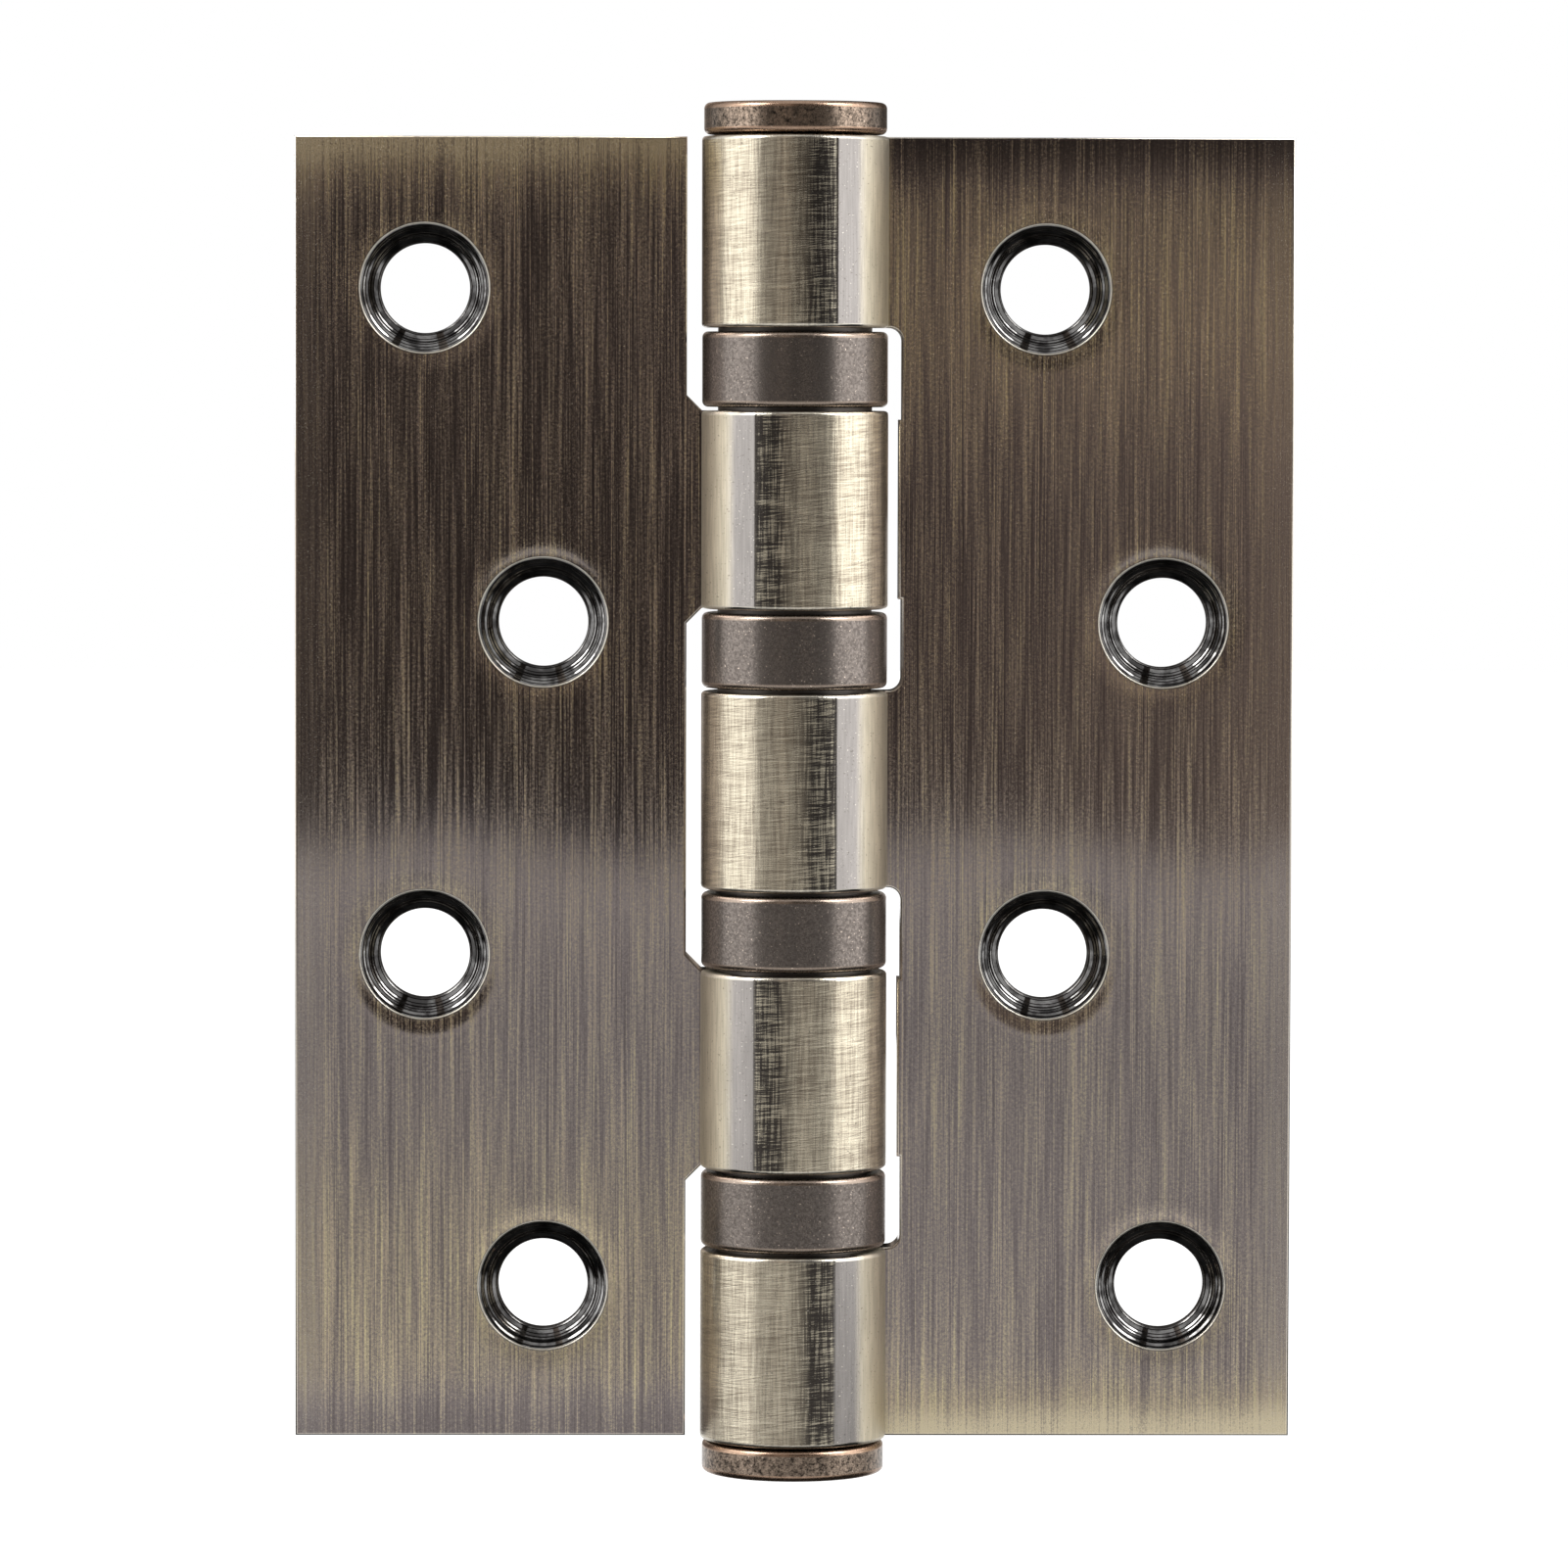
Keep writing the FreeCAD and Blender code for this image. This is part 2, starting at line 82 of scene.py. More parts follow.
def output_of(tree, kind, inputs=(), output=0, **options):
    """One output of a new node, ready to calculate with."""
    return Signal(add_node(tree, kind, inputs, **options).outputs[output])


def link(signal, socket):
    """A link from a signal to an input."""
    signal.tree.links.new(signal.socket, socket)


# %% Sums as nodes
class Signal:
    """A node's output; each sign used on it adds one Math node to its tree."""

    def __init__(self, socket):
        self.socket = socket
        self.tree = socket.id_data

    def __add__(self, other):
        return maths("ADD", self, other)

    def __sub__(self, other):
        return maths("SUBTRACT", self, other)

    def __rsub__(self, other):
        return maths("SUBTRACT", other, self)

    def __mul__(self, other):
        return maths("MULTIPLY", self, other)

    def __truediv__(self, other):
        return maths("DIVIDE", self, other)

    def __rtruediv__(self, other):
        return maths("DIVIDE", other, self)


def maths(operation, *values, clamp=False):
    """The result of one Math node, in the tree that its values come from."""
    tree = next(value.tree for value in values if isinstance(value, Signal))
    return output_of(tree, "ShaderNodeMath", enumerate(values), operation=operation, use_clamp=clamp)


def axes(vector):
    """The three parts of a vector."""
    return [Signal(part) for part in add_node(vector.tree, "ShaderNodeSeparateXYZ", {0: vector}).outputs]


def combined(tree, *parts):
    """A vector from its parts."""
    return output_of(tree, "ShaderNodeCombineXYZ", enumerate(parts))


# %% Ranges and mixes
def ranged(value, low, high, to_low=0.0, to_high=1.0, kind="SMOOTHSTEP"):
    """The value mapped from low..high to to_low..to_high, and held at the ends."""
    return output_of(value.tree, "ShaderNodeMapRange", {0: value, 1: low, 2: high, 3: to_low, 4: to_high},
                     interpolation_type=kind)


def between(share, first, second):
    """A number that goes evenly from first to second as the share goes from 0 to 1."""
    return ranged(share, 0.0, 1.0, first, second, "LINEAR")


def band(value, start, full, fading, gone):
    """1 from full to fading, and 0 before start and past gone."""
    return ranged(value, start, full) * ranged(value, gone, fading)


def blended(share, first, second):
    """Two colours mixed by a share."""
    return output_of(share.tree, "ShaderNodeMix", {0: share, 6: first, 7: second}, 2, data_type="RGBA")


def layered(colour, *layers):
    """A colour with other colours laid over it, each by its own share, the last on top."""
    for share, over in layers:
        colour = blended(share, colour, over)
    return colour


def rgb(red, green, blue):
    """A colour in linear light, with full alpha."""
    return (red, green, blue, 1.0)


def object_place(tree):
    """Where a point lies on its piece, in metres."""
    return output_of(tree, "ShaderNodeTexCoord", output="Object")


# %% [markdown]
# ## The camera
#
# The photograph was taken straight on with a long lens from about 60 cm, a little above the middle of the
# hinge. The distance shows in the buttons: the top one is seen from slightly below its rim and the bottom
# one from well above. The focal length is written in pixels of the photograph, because that is what a
# fitted camera gives, and turned into a lens for Blender's 36 mm sensor.

# %% Camera
PHOTO_SIDE = 1601
FOCAL_PIXELS = 7947
SENSOR = 36.0
CAMERA_PLACE = (-10.2, -606.3, 33.4)
CAMERA_TURN = (86.888, -0.146, -0.882)

scene = bpy.context.scene
camera_data = bpy.data.cameras.new("camera")
camera_data.sensor_width = SENSOR
camera_data.lens = FOCAL_PIXELS / PHOTO_SIDE * SENSOR
camera_data.clip_start = 0.01
camera_data.clip_end = 20.0
camera = bpy.data.objects.new("camera", camera_data)
camera.location = Vector(CAMERA_PLACE) * MM
camera.rotation_euler = [math.radians(angle) for angle in CAMERA_TURN]
scene.collection.objects.link(camera)
scene.camera = camera
print("Lens: %.1f mm" % camera_data.lens)

# %% [markdown]
# ## White surroundings
#
# Polished metal has no look of its own: it shows the room, and a product like this is photographed in a
# white one. The world here is plain white for the camera and for anything seen in a reflection, and a soft
# grey for the light that falls on the pieces. The Light Path node tells these rays apart, so the background
# can be pure white with no extra light on the object.

# %% World
WORLD_GREY = 0.55


def kinds_of_ray(tree):
    """1 for a camera ray, for a glossy ray, and for any ray that shows the surroundings directly."""
    path = add_node(tree, "ShaderNodeLightPath").outputs
    camera_ray, glossy_ray, clear_ray = [
        Signal(path["Is %s Ray" % kind]) for kind in ("Camera", "Glossy", "Transmission")]
    return camera_ray, glossy_ray, maths("MAXIMUM", maths("MAXIMUM", camera_ray, glossy_ray), clear_ray)


scene.view_settings.view_transform = "Standard"
world = bpy.data.worlds.new("white room")
world.use_nodes = True
scene.world = world
sky = world.node_tree
sky.nodes.clear()
brightness = between(kinds_of_ray(sky)[2], WORLD_GREY, 1.0)
air = output_of(sky, "ShaderNodeBackground", {"Color": rgb(1, 1, 1), "Strength": brightness})
add_node(sky, "ShaderNodeOutputWorld", {"Surface": air})

# %% [markdown]
# ## The floor
#
# The hinge is held in its own frame, so the pale floor lies well below it. The flat leaves mirror the floor
# in their lower halves, which is why they change tone across the middle. It could be one plain colour, but
# the mirrored strip must fall off towards its front, as a floor in the screen's shade does, and the upper
# walls of the countersinks must find something dark right below them. So reflections see a glow that
# changes with depth and a narrow dark strip under the hinge, while the camera sees plain white, and light
# and shadow fall on a matt pale surface.

# %% Floor
FLOOR_HEIGHT = -0.150
FLOOR_FRONT = -2.30
FLOOR_BACK = 4.0
FLOOR_SIDE = 4.0
FLOOR_PALE = 0.86
FLOOR_GLOW = 1.10
FLOOR_SHADE = 0.49
FLOOR_FAR = 1.40
FAR_START, FAR_END = 0.20, 0.50
SHADE_START, SHADE_END = -0.40, -0.90
EDGE_GLOW = 0.40
EDGE_WIDTH = 0.85
STRIP_DARK = 0.03
STRIP_DEEP = 0.110
STRIP_WIDE = 0.42
STRIP_FADE = 1.5
DIRECT_SHARE = 0.75


def stage_material(name):
    """A material for the stage, with an empty tree."""
    material = bpy.data.materials.new(name)
    material.use_nodes = True
    material.node_tree.nodes.clear()
    return material, material.node_tree


def stage_plane(name, corners, material, hidden_from=()):
    """A flat four-cornered stage piece; it can be hidden from the camera, from shadows or from soft light."""
    mesh = bpy.data.meshes.new(name)
    mesh.from_pydata(corners, [], [(0, 1, 2, 3)])
    mesh.materials.append(material)
    plane = bpy.data.objects.new(name, mesh)
    for rays in hidden_from:
        setattr(plane, "visible_" + rays, False)
    scene.collection.objects.link(plane)


floor_material, tree = stage_material("pale floor")
camera_ray, glossy_ray, direct = kinds_of_ray(tree)
floor_across, floor_deep, _ = axes(object_place(tree))
glow = ranged(floor_deep, SHADE_END, SHADE_START, FLOOR_SHADE, FLOOR_GLOW)
glow += ranged(floor_deep, FLOOR_FRONT, FLOOR_FRONT + EDGE_WIDTH, EDGE_GLOW, 0.0)
glow += ranged(floor_deep, FAR_START, FAR_END, 0.0, FLOOR_FAR - FLOOR_GLOW)
off_strip = maths("MAXIMUM", ranged(maths("ABSOLUTE", floor_deep), STRIP_DEEP, STRIP_DEEP * STRIP_FADE),
                  ranged(maths("ABSOLUTE", floor_across), STRIP_WIDE, STRIP_WIDE * STRIP_FADE))
strip = maths("MAXIMUM", between(off_strip, STRIP_DARK, 1.0), 1.0 - glossy_ray)
matt = output_of(tree, "ShaderNodeBsdfDiffuse", {"Color": strip * FLOOR_PALE})
shine = output_of(tree, "ShaderNodeEmission", {
    "Color": rgb(1, 1, 1), "Strength": between(camera_ray, glow * strip, FLOOR_FAR)})
both = output_of(tree, "ShaderNodeMixShader", {0: direct * DIRECT_SHARE, 1: matt, 2: shine})
add_node(tree, "ShaderNodeOutputMaterial", {"Surface": both})
stage_plane("floor", [
    (-FLOOR_SIDE, FLOOR_FRONT, FLOOR_HEIGHT), (FLOOR_SIDE, FLOOR_FRONT, FLOOR_HEIGHT),
    (FLOOR_SIDE, FLOOR_BACK, FLOOR_HEIGHT), (-FLOOR_SIDE, FLOOR_BACK, FLOOR_HEIGHT)], floor_material)

# %% [markdown]
# ## The dark screens
#
# Flat metal that faced a white wall would flare, so a dark screen stands behind the camera, and the upper
# halves of the leaves mirror it. Its tone is nearly black in the middle, which draws the dark line down
# every round piece, and it is lighter to both sides. What the leaves mirror also changes with height: the
# left leaf brightens towards its top, and the right one rises from its foot and then falls. So a share that
# follows height multiplies the tone, each side by its own. The screen ends at both sides, and past its
# edges every round piece gets its two bright stripes. A second screen behind the hinge does the same for
# views of its back. The screens stay out of the camera's sight and cast no shadow.
#
# All places on the screen are in metres. A step is two tones and where one turns into the other. A band is
# where a side's own share starts, is full, fades and is gone. A pair is where a change starts and ends, and
# in four numbers its two levels follow.

# %% Screens
SCREEN_DISTANCE = 2.30
SCREEN_LEFT_ANGLE = 48.8
SCREEN_RIGHT_ANGLE = 51.3
SCREEN_TOP = 2.6
SCREEN_COLOUR = rgb(1.0, 0.85, 0.73)
SCREEN_FAR_LEFT = 0.30
SCREEN_LEFT = 0.105
SCREEN_MIDDLE = 0.018
SCREEN_RIGHT = 0.56
SCREEN_FAR_RIGHT = 0.22
SCREEN_STEPS = (
    (SCREEN_MIDDLE, SCREEN_LEFT, -0.05, -0.16), (SCREEN_LEFT, SCREEN_FAR_LEFT, -0.25, -0.60),
    (SCREEN_MIDDLE, SCREEN_RIGHT, 0.03, 0.28), (SCREEN_RIGHT, SCREEN_FAR_RIGHT, 0.45, 1.20))
MIDDLE_HEIGHTS = (0.055, 0.130)
MIDDLE_TOPS = (-0.10, 0.10, 0.65, 0.22)
LEFT_BAND = (-1.00, -0.50, 0.0, 0.03)
LEFT_HEIGHTS = (0.070, 0.125)
LEFT_TOP = 2.6
RIGHT_BAND = (0.05, 0.08, 0.40, 0.80)
RIGHT_FEET = (0.10, 0.17, 0.58, 0.85)
RIGHT_RISE = (-0.030, 0.065)
RIGHT_FALL = (0.065, 0.122)
RIGHT_LEVELS = (1.45, 0.10)

screen_material, tree = stage_material("dark screen")
across, _, up = axes(object_place(tree))
tone = SCREEN_MIDDLE
for before, after, start, end in SCREEN_STEPS:
    tone = ranged(across, start, end, 0.0, after - before) + tone
full_level, top_level = RIGHT_LEVELS
foot_level = ranged(across, *RIGHT_FEET)
right_level = ranged(up, *RIGHT_RISE, foot_level, full_level) * ranged(up, *RIGHT_FALL, 1.0, top_level)
left_level = ranged(up, *LEFT_HEIGHTS, 1.0, LEFT_TOP)
level = ranged(up, *MIDDLE_HEIGHTS, 1.0, ranged(across, *MIDDLE_TOPS))
level = between(band(across, *RIGHT_BAND), level, right_level)
level = between(band(across, *LEFT_BAND), level, left_level)
shine = output_of(tree, "ShaderNodeEmission", {"Color": SCREEN_COLOUR, "Strength": tone * level})
add_node(tree, "ShaderNodeOutputMaterial", {"Surface": shine})
screen_left = -SCREEN_DISTANCE * math.tan(math.radians(SCREEN_LEFT_ANGLE))
screen_right = SCREEN_DISTANCE * math.tan(math.radians(SCREEN_RIGHT_ANGLE))
for name, distance in (("front_screen", -SCREEN_DISTANCE), ("back_screen", SCREEN_DISTANCE)):
    stage_plane(name, [
        (screen_left, distance, FLOOR_HEIGHT), (screen_right, distance, FLOOR_HEIGHT),
        (screen_right, distance, SCREEN_TOP), (screen_left, distance, SCREEN_TOP)],
        screen_material, ("camera", "shadow"))

# %% [markdown]
# ## Rails and lamps
#
# Two dark rails overhead are what the lower walls of the countersinks mirror as two short bars. The light
# itself comes from a tall soft lamp on each side, like the strip boxes of a studio, and from a small square
# one above each, which puts a glint on the countersinks' rings. Area lamps are right here because their
# shape shows in polished metal, where a point lamp would be a dot.

# %% Rails
RAIL_HEIGHT = 1.0
RAIL_WIDTH = 0.16
RAIL_LENGTH = 1.8
RAIL_LEFT = -0.37
RAIL_RIGHT = 0.44

for name, rail_middle in (("left_rail", RAIL_LEFT), ("right_rail", RAIL_RIGHT)):
    low_x, high_x = rail_middle - RAIL_WIDTH / 2, rail_middle + RAIL_WIDTH / 2
    front_y, back_y = -RAIL_LENGTH / 2, RAIL_LENGTH / 2
    stage_plane(name, [
        (low_x, front_y, RAIL_HEIGHT), (low_x, back_y, RAIL_HEIGHT),
        (high_x, back_y, RAIL_HEIGHT), (high_x, front_y, RAIL_HEIGHT)],
        screen_material, ("camera", "shadow", "diffuse"))

# %% Lamps
LAMP_ANGLE = math.radians(75.0)
LAMP_DISTANCE = 1.05
LAMP_WIDTH = 0.94
LAMP_TALL = 1.25
LAMP_POWERS = (5.8, 7.4)
GLINT_PLACE = (0.95, -0.50, 0.95)
GLINT_SIZE = 0.62
GLINT_POWER = 13.0


def soft_lamp(name, place, aim, width, tall, power):
    """A rectangular soft lamp at a place, aimed at a point and hidden from the camera."""
    data = bpy.data.lights.new(name, "AREA")
    data.shape = "RECTANGLE"
    data.size = width
    data.size_y = tall
    data.energy = power
    lamp = bpy.data.objects.new(name, data)
    lamp.location = place
    lamp.rotation_euler = (Vector(aim) - Vector(place)).to_track_quat("-Z", "Y").to_euler()
    lamp.visible_camera = False
    scene.collection.objects.link(lamp)


lamp_middle = FLOOR_HEIGHT + LAMP_TALL / 2
lamp_across = LAMP_DISTANCE * math.sin(LAMP_ANGLE)
lamp_deep = -LAMP_DISTANCE * math.cos(LAMP_ANGLE)
glint_across, glint_deep, glint_height = GLINT_PLACE
for name, side, power in (("left", -1, LAMP_POWERS[0]), ("right", 1, LAMP_POWERS[1])):
    soft_lamp(name + "_lamp", (side * lamp_across, lamp_deep, lamp_middle), (0.0, 0.0, lamp_middle),
              LAMP_WIDTH, LAMP_TALL, power)
    soft_lamp(name + "_glint_lamp", (side * glint_across, glint_deep, glint_height), (0.0, 0.0, 0.0),
              GLINT_SIZE, GLINT_SIZE, GLINT_POWER)
print("Stage: floor at %.0f mm, screens out to %.2f m" % (FLOOR_HEIGHT / MM, screen_right))

# %% [markdown]
# ## Sizes of the sheet metal
#
# Both leaves are one sheet each, and its far end is rolled round the pin. The outer sizes are read from the
# imported frame leaf, and the rest are the sizes on the drawing. The finishes need them too: wear and painted
# highlights begin a few millimetres from an edge, so they must know where the edges are.

# %% Sizes of the sheet
leaf_low, leaf_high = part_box("frame_leaf")
REACH = leaf_high.x / MM
HALF_HEIGHT = leaf_high.z / MM
BARREL = -leaf_low.x / MM
GAUGE = 3.0
SETBACK = 0.75
ROOT_BEND = 0.4
SEAM_GAP = 0.18
KNUCKLE_LENGTH = 15.38
BEARING_SPACE = 6.45
BORE = BARREL - GAUGE
ROLL_RADIUS = BORE + GAUGE / 2
BEND_RADIUS = ROOT_BEND + GAUGE / 2
BEND_UP = SETBACK + GAUGE + ROOT_BEND
BEND_ACROSS = math.sqrt((BARREL + ROOT_BEND) ** 2 - BEND_UP ** 2)
TOUCH = math.atan2(BEND_UP, BEND_ACROSS)
BEND_LENGTH = BEND_RADIUS * (math.pi / 2 - TOUCH)
PLATE_END = BEND_ACROSS - REACH
print("Leaf reach %.2f, half height %.2f, barrel radius %.2f mm" % (REACH, HALF_HEIGHT, BARREL))


def strap_end(depth):
    """Distance along the sheet where the rolled strap ends, at a depth from the sheet's middle."""
    rise = math.asin((SETBACK - SEAM_GAP) / (ROLL_RADIUS + depth))
    return BEND_LENGTH + ROLL_RADIUS * (2 * math.pi + rise - TOUCH)


# %% [markdown]
# ## Finishes: shared effects
#
# Every piece here is plated steel that was brushed or tumbled, so the same few effects come back in each
# finish at other scales. They are node groups: fine grain that runs one way, speckle, and wear on the
# edges. A group only gives masks and heights, and each material decides what they do to its colour,
# roughness and bump. The same maker also starts the geometry trees further down.

# %% Group maker
def new_group(name, family, inputs, outputs):
    """An empty node group with named inputs and outputs, and the node that takes its results."""
    group = bpy.data.node_groups.new(name, family + "NodeTree")
    for in_out, sockets in (("INPUT", inputs), ("OUTPUT", outputs)):
        for kind, names in sockets.items():
            for socket in names:
                group.interface.new_socket(socket, in_out=in_out, socket_type="NodeSocket" + kind)
    given = {socket.name: Signal(socket) for socket in group.nodes.new("NodeGroupInput").outputs}
    return group, given, group.nodes.new("NodeGroupOutput")


def put_out(end, **results):
    """Links each result to the group's output of that name."""
    for name, result in results.items():
        link(result, end.inputs[name])


def use_group(tree, group, **inputs):
    """One group placed in a material, with its outputs by name."""
    node = add_node(tree, "ShaderNodeGroup", inputs, node_tree=group)
    return {socket.name: Signal(socket) for socket in node.outputs}


def noise(vector, scale=1.0, detail=2.0, roughness=0.5):
    """The grey output of a noise texture."""
    return output_of(vector.tree, "ShaderNodeTexNoise", {
        "Vector": vector, "Scale": scale, "Detail": detail, "Roughness": roughness}, "Fac")


def scaled(vector, across, along, deep=1.0, shift=0.0):
    """A vector with each axis stretched by its own factor; a shift gives an unrelated pattern."""
    return output_of(vector.tree, "ShaderNodeVectorMath", {
        0: vector, 1: (across, along, deep), 2: (shift, shift, shift)}, operation="MULTIPLY_ADD")


# %% [markdown]
# ### Brushed grain
#
# A brushing belt leaves thousands of short parallel scratches. A noise squeezed across the grain and
# stretched along it turns its blobs into strands. Strands of the given width, hairlines half as wide and
# slow clouds together look real, and on the leaves a strand is a seventh of a millimetre wide. The vector
# comes in with the grain along its second axis, in millimetres, and another, shifted set of strands tells
# two colours of scratch apart.

# %% Group: brushed grain
STRAND_SHARE = 0.8
CLOUD_SHARE = 0.36
TONE_RANGE = (0.72, 1.44)
HALF_WAY = (0.35, 0.65)

grain_group, given, grain_end = new_group(
    "Brushed grain", "Shader", {"Vector": ["Vector"], "Float": ["Width", "Length"]},
    {"Float": ["Tone", "Hue", "Height"]})
fineness = combined(grain_group, 1.0 / given["Width"], 1.0 / given["Length"], 1.0 / given["Width"])
hair = output_of(grain_group, "ShaderNodeVectorMath", {0: given["Vector"], 1: fineness}, operation="MULTIPLY")
strand = noise(scaled(hair, 1.0, 1.0, shift=0.3), detail=0.5)
hairline = noise(scaled(hair, 2.1, 0.6, shift=7.3), detail=1.0)
cloud = noise(scaled(hair, 0.09, 0.20, shift=3.6), detail=1.0)
hue = noise(scaled(hair, 0.8, 0.7, shift=19.4), detail=1.0)
height = strand * STRAND_SHARE + hairline
put_out(grain_end, Tone=ranged(cloud * CLOUD_SHARE + height, *TONE_RANGE, kind="LINEAR"),
        Hue=ranged(hue, *HALF_WAY), Height=height)

# %% [markdown]
# ### Speckle
#
# Copper plating that was tumbled and darkened keeps a fine mottle of bright tops and dark pores. Two sizes
# of noise make it, and sparse pale specks and dark pits come from two more with high limits, which is
# cheaper than scattering points and never repeats.

# %% Group: speckle
MOTTLE_RANGE = (0.74, 1.26)
SPECKS_ABOVE = (0.70, 0.76)
PITS_ABOVE = (0.68, 0.74)

speckle_group, given, speckle_end = new_group(
    "Speckle", "Shader", {"Vector": ["Vector"], "Float": ["Size"]}, {"Float": ["Mottle", "Specks", "Pits"]})
point = output_of(speckle_group, "ShaderNodeVectorMath", {
    0: given["Vector"], "Scale": 1.0 / given["Size"]}, operation="SCALE")
coarse = noise(scaled(point, 0.45, 0.45, 0.45, 0.4))
grainy = noise(scaled(point, 1.3, 1.3, 1.3, 5.2))
sparse_pale = noise(scaled(point, 0.8, 0.8, 0.8, 9.1), detail=1.0)
sparse_dark = noise(scaled(point, 0.8, 0.8, 0.8, 14.7), detail=1.0)
put_out(speckle_end, Mottle=ranged(coarse + grainy, *MOTTLE_RANGE, kind="LINEAR"),
        Specks=ranged(sparse_pale, *SPECKS_ABOVE), Pits=ranged(sparse_dark, *PITS_ABOVE))

# %% [markdown]
# ### Worn edges
#
# Dark plating wears off first where a piece is rounded over. The meshes carry a number for that, the
# attribute Wear: 1 on a rounded edge and 0 on a flat. A little noise breaks the line up, because wear is
# never even.

# %% Group: worn edges
WEAR_UNEVEN = 0.9
WEAR_SOFT = 0.35

wear_group, given, wear_end = new_group(
    "Worn edges", "Shader", {"Vector": ["Vector"], "Float": ["Reach"]}, {"Float": ["Worn"]})
on_edge = output_of(wear_group, "ShaderNodeAttribute", output="Fac", attribute_name="Wear")
wear = (noise(given["Vector"], 1.4, 3.0, 0.6) - 0.5) * WEAR_UNEVEN + on_edge
limit = 1.0 - given["Reach"]
put_out(wear_end, Worn=ranged(wear, limit, limit + WEAR_SOFT))
print("Shared effects:", ", ".join(group.name for group in (grain_group, speckle_group, wear_group)))

# %% [markdown]
# ## Finish of the flat leaves
#
# The leaves are steel with an antique bronze plating, brushed from top to bottom and lacquered. Metal that
# is brushed one way reflects sharply along the scratches and spreads light across them, which the shader
# calls anisotropy. Its direction comes from the piece's own UV map, where the second axis runs along the
# grain, so it turns with the leaf. The grain itself is given the depth in the sheet as a third axis, so
# that it doesn't draw lines across the sheet's cut edges.

# %% Material maker
def scaled_colour(colour, share):
    """A colour made lighter or darker."""
    return rgb(*(channel * share for channel in colour[:3]))


def new_metal(name, roughness, anisotropic=0.0, turn=0.0):
    """A metal material with its tree and shader; along-the-grain direction comes from the Blank UV map."""
    material = bpy.data.materials.new(name)
    material.use_nodes = True
    tree = material.node_tree
    shader = tree.nodes["Principled BSDF"]
    shader.inputs["Metallic"].default_value = 1.0
    shader.inputs["Roughness"].default_value = roughness
    if anisotropic:
        shader.inputs["Anisotropic"].default_value = anisotropic
        shader.inputs["Anisotropic Rotation"].default_value = turn
        along_grain = output_of(tree, "ShaderNodeTangent", direction_type="UV_MAP", uv_map="Blank")
        link(along_grain, shader.inputs["Tangent"])
    return material, tree, shader


def set_surface(shader, colour, roughness, height, bump_mm):
    """Colour, roughness and a bump whose full step is that many millimetres."""
    link(colour, shader.inputs["Base Color"])
    if isinstance(roughness, Signal):
        link(roughness, shader.inputs["Roughness"])
    bump = output_of(colour.tree, "ShaderNodeBump", {
        "Strength": 1.0, "Distance": bump_mm * MM, "Height": height})
    link(bump, shader.inputs["Normal"])


# %% Brushed bronze: streaks
PATINA_DARK = rgb(0.190, 0.160, 0.155)
PATINA_LIGHT = rgb(0.402, 0.352, 0.346)
BRASS = rgb(0.620, 0.535, 0.335)
BRASS_RED = rgb(0.540, 0.445, 0.325)
END_BRASS_HIGHLIGHT = rgb(0.620, 0.540, 0.375)
PALE_METAL = rgb(0.640, 0.600, 0.520)
WORN_FLAT = 0.5
WORN_RIM = 0.8
PATINA_ROUGHNESS = 0.09
SCRATCH_ROUGHNESS = 0.23
SIDE_STRIP = (3.0, 1.0)
MOTTLED = 0.56
SIDE_CONTRAST = 0.40
SIDE_TONE = 0.34

plate_finish, tree, shader = new_metal("brushed bronze", PATINA_ROUGHNESS, 1.0)
flat_place = output_of(tree, "ShaderNodeUVMap", uv_map="Blank")
along, height, _ = axes(flat_place)
depth = axes(object_place(tree))[1] / MM
in_sheet = combined(tree, along, height, depth)
grain = use_group(tree, grain_group, Vector=in_sheet, Width=0.14, Length=9.0)
speckle = use_group(tree, speckle_group, Vector=in_sheet, Size=0.09)
fine = use_group(tree, speckle_group, Vector=in_sheet, Size=0.055)
worn = use_group(tree, wear_group, Vector=in_sheet, Reach=0.45)["Worn"]
side_strip = ranged(along - PLATE_END, *SIDE_STRIP)
streak = speckle["Mottle"] * MOTTLED + grain["Tone"] - MOTTLED / 2
streak = between(side_strip, streak, streak * SIDE_CONTRAST + SIDE_TONE)
print("Leaf finish: rubbed end at %.1f mm, side edge at %.1f mm" % (-HALF_HEIGHT, PLATE_END))

# %% [markdown]
# How much the plating is rubbed is one number that adds up its causes: everywhere a little and round each
# countersink, which is wear, and in bands that are partly rubbed plating and partly painted highlight:
# strongly near one end, softly for a centimetre beyond it and again towards the other end. A strip of paler
# brass at the very end is partly rubbed plating and partly painted highlight too. The far end is not rubbed
# and is painted darker, as painted shade. A strand shows brass by how far its tone is above a limit, and more
# rubbing lowers the limit, so that a band fades out in streaks and is full in its middle. All these
# distances are in millimetres from the rubbed end.

# %% Brushed bronze: rubbing
RUBBED_ALL = 0.17
# Partly rubbed plating, partly painted highlight: brass bands placed where the leaves show bright
# reflections.
RUBBED_AND_HIGHLIGHT_BANDS = ((6.5, 0.0, 0.62), (15.0, 1.0, 0.20))
RUBBED_AND_HIGHLIGHT_FAR = (72.0, 88.0, 95.0, 101.0)
RUBBED_AND_HIGHLIGHT_FAR_SHARE = 0.40
RUBBED_HOLE_SHARE = 0.25
# The far end is kept unrubbed and painted darker: painted shade.
KEPT_SHADED_END = (97.0, 101.6)
UNEVEN = 2.4
SCRATCH_SPREAD = 0.45

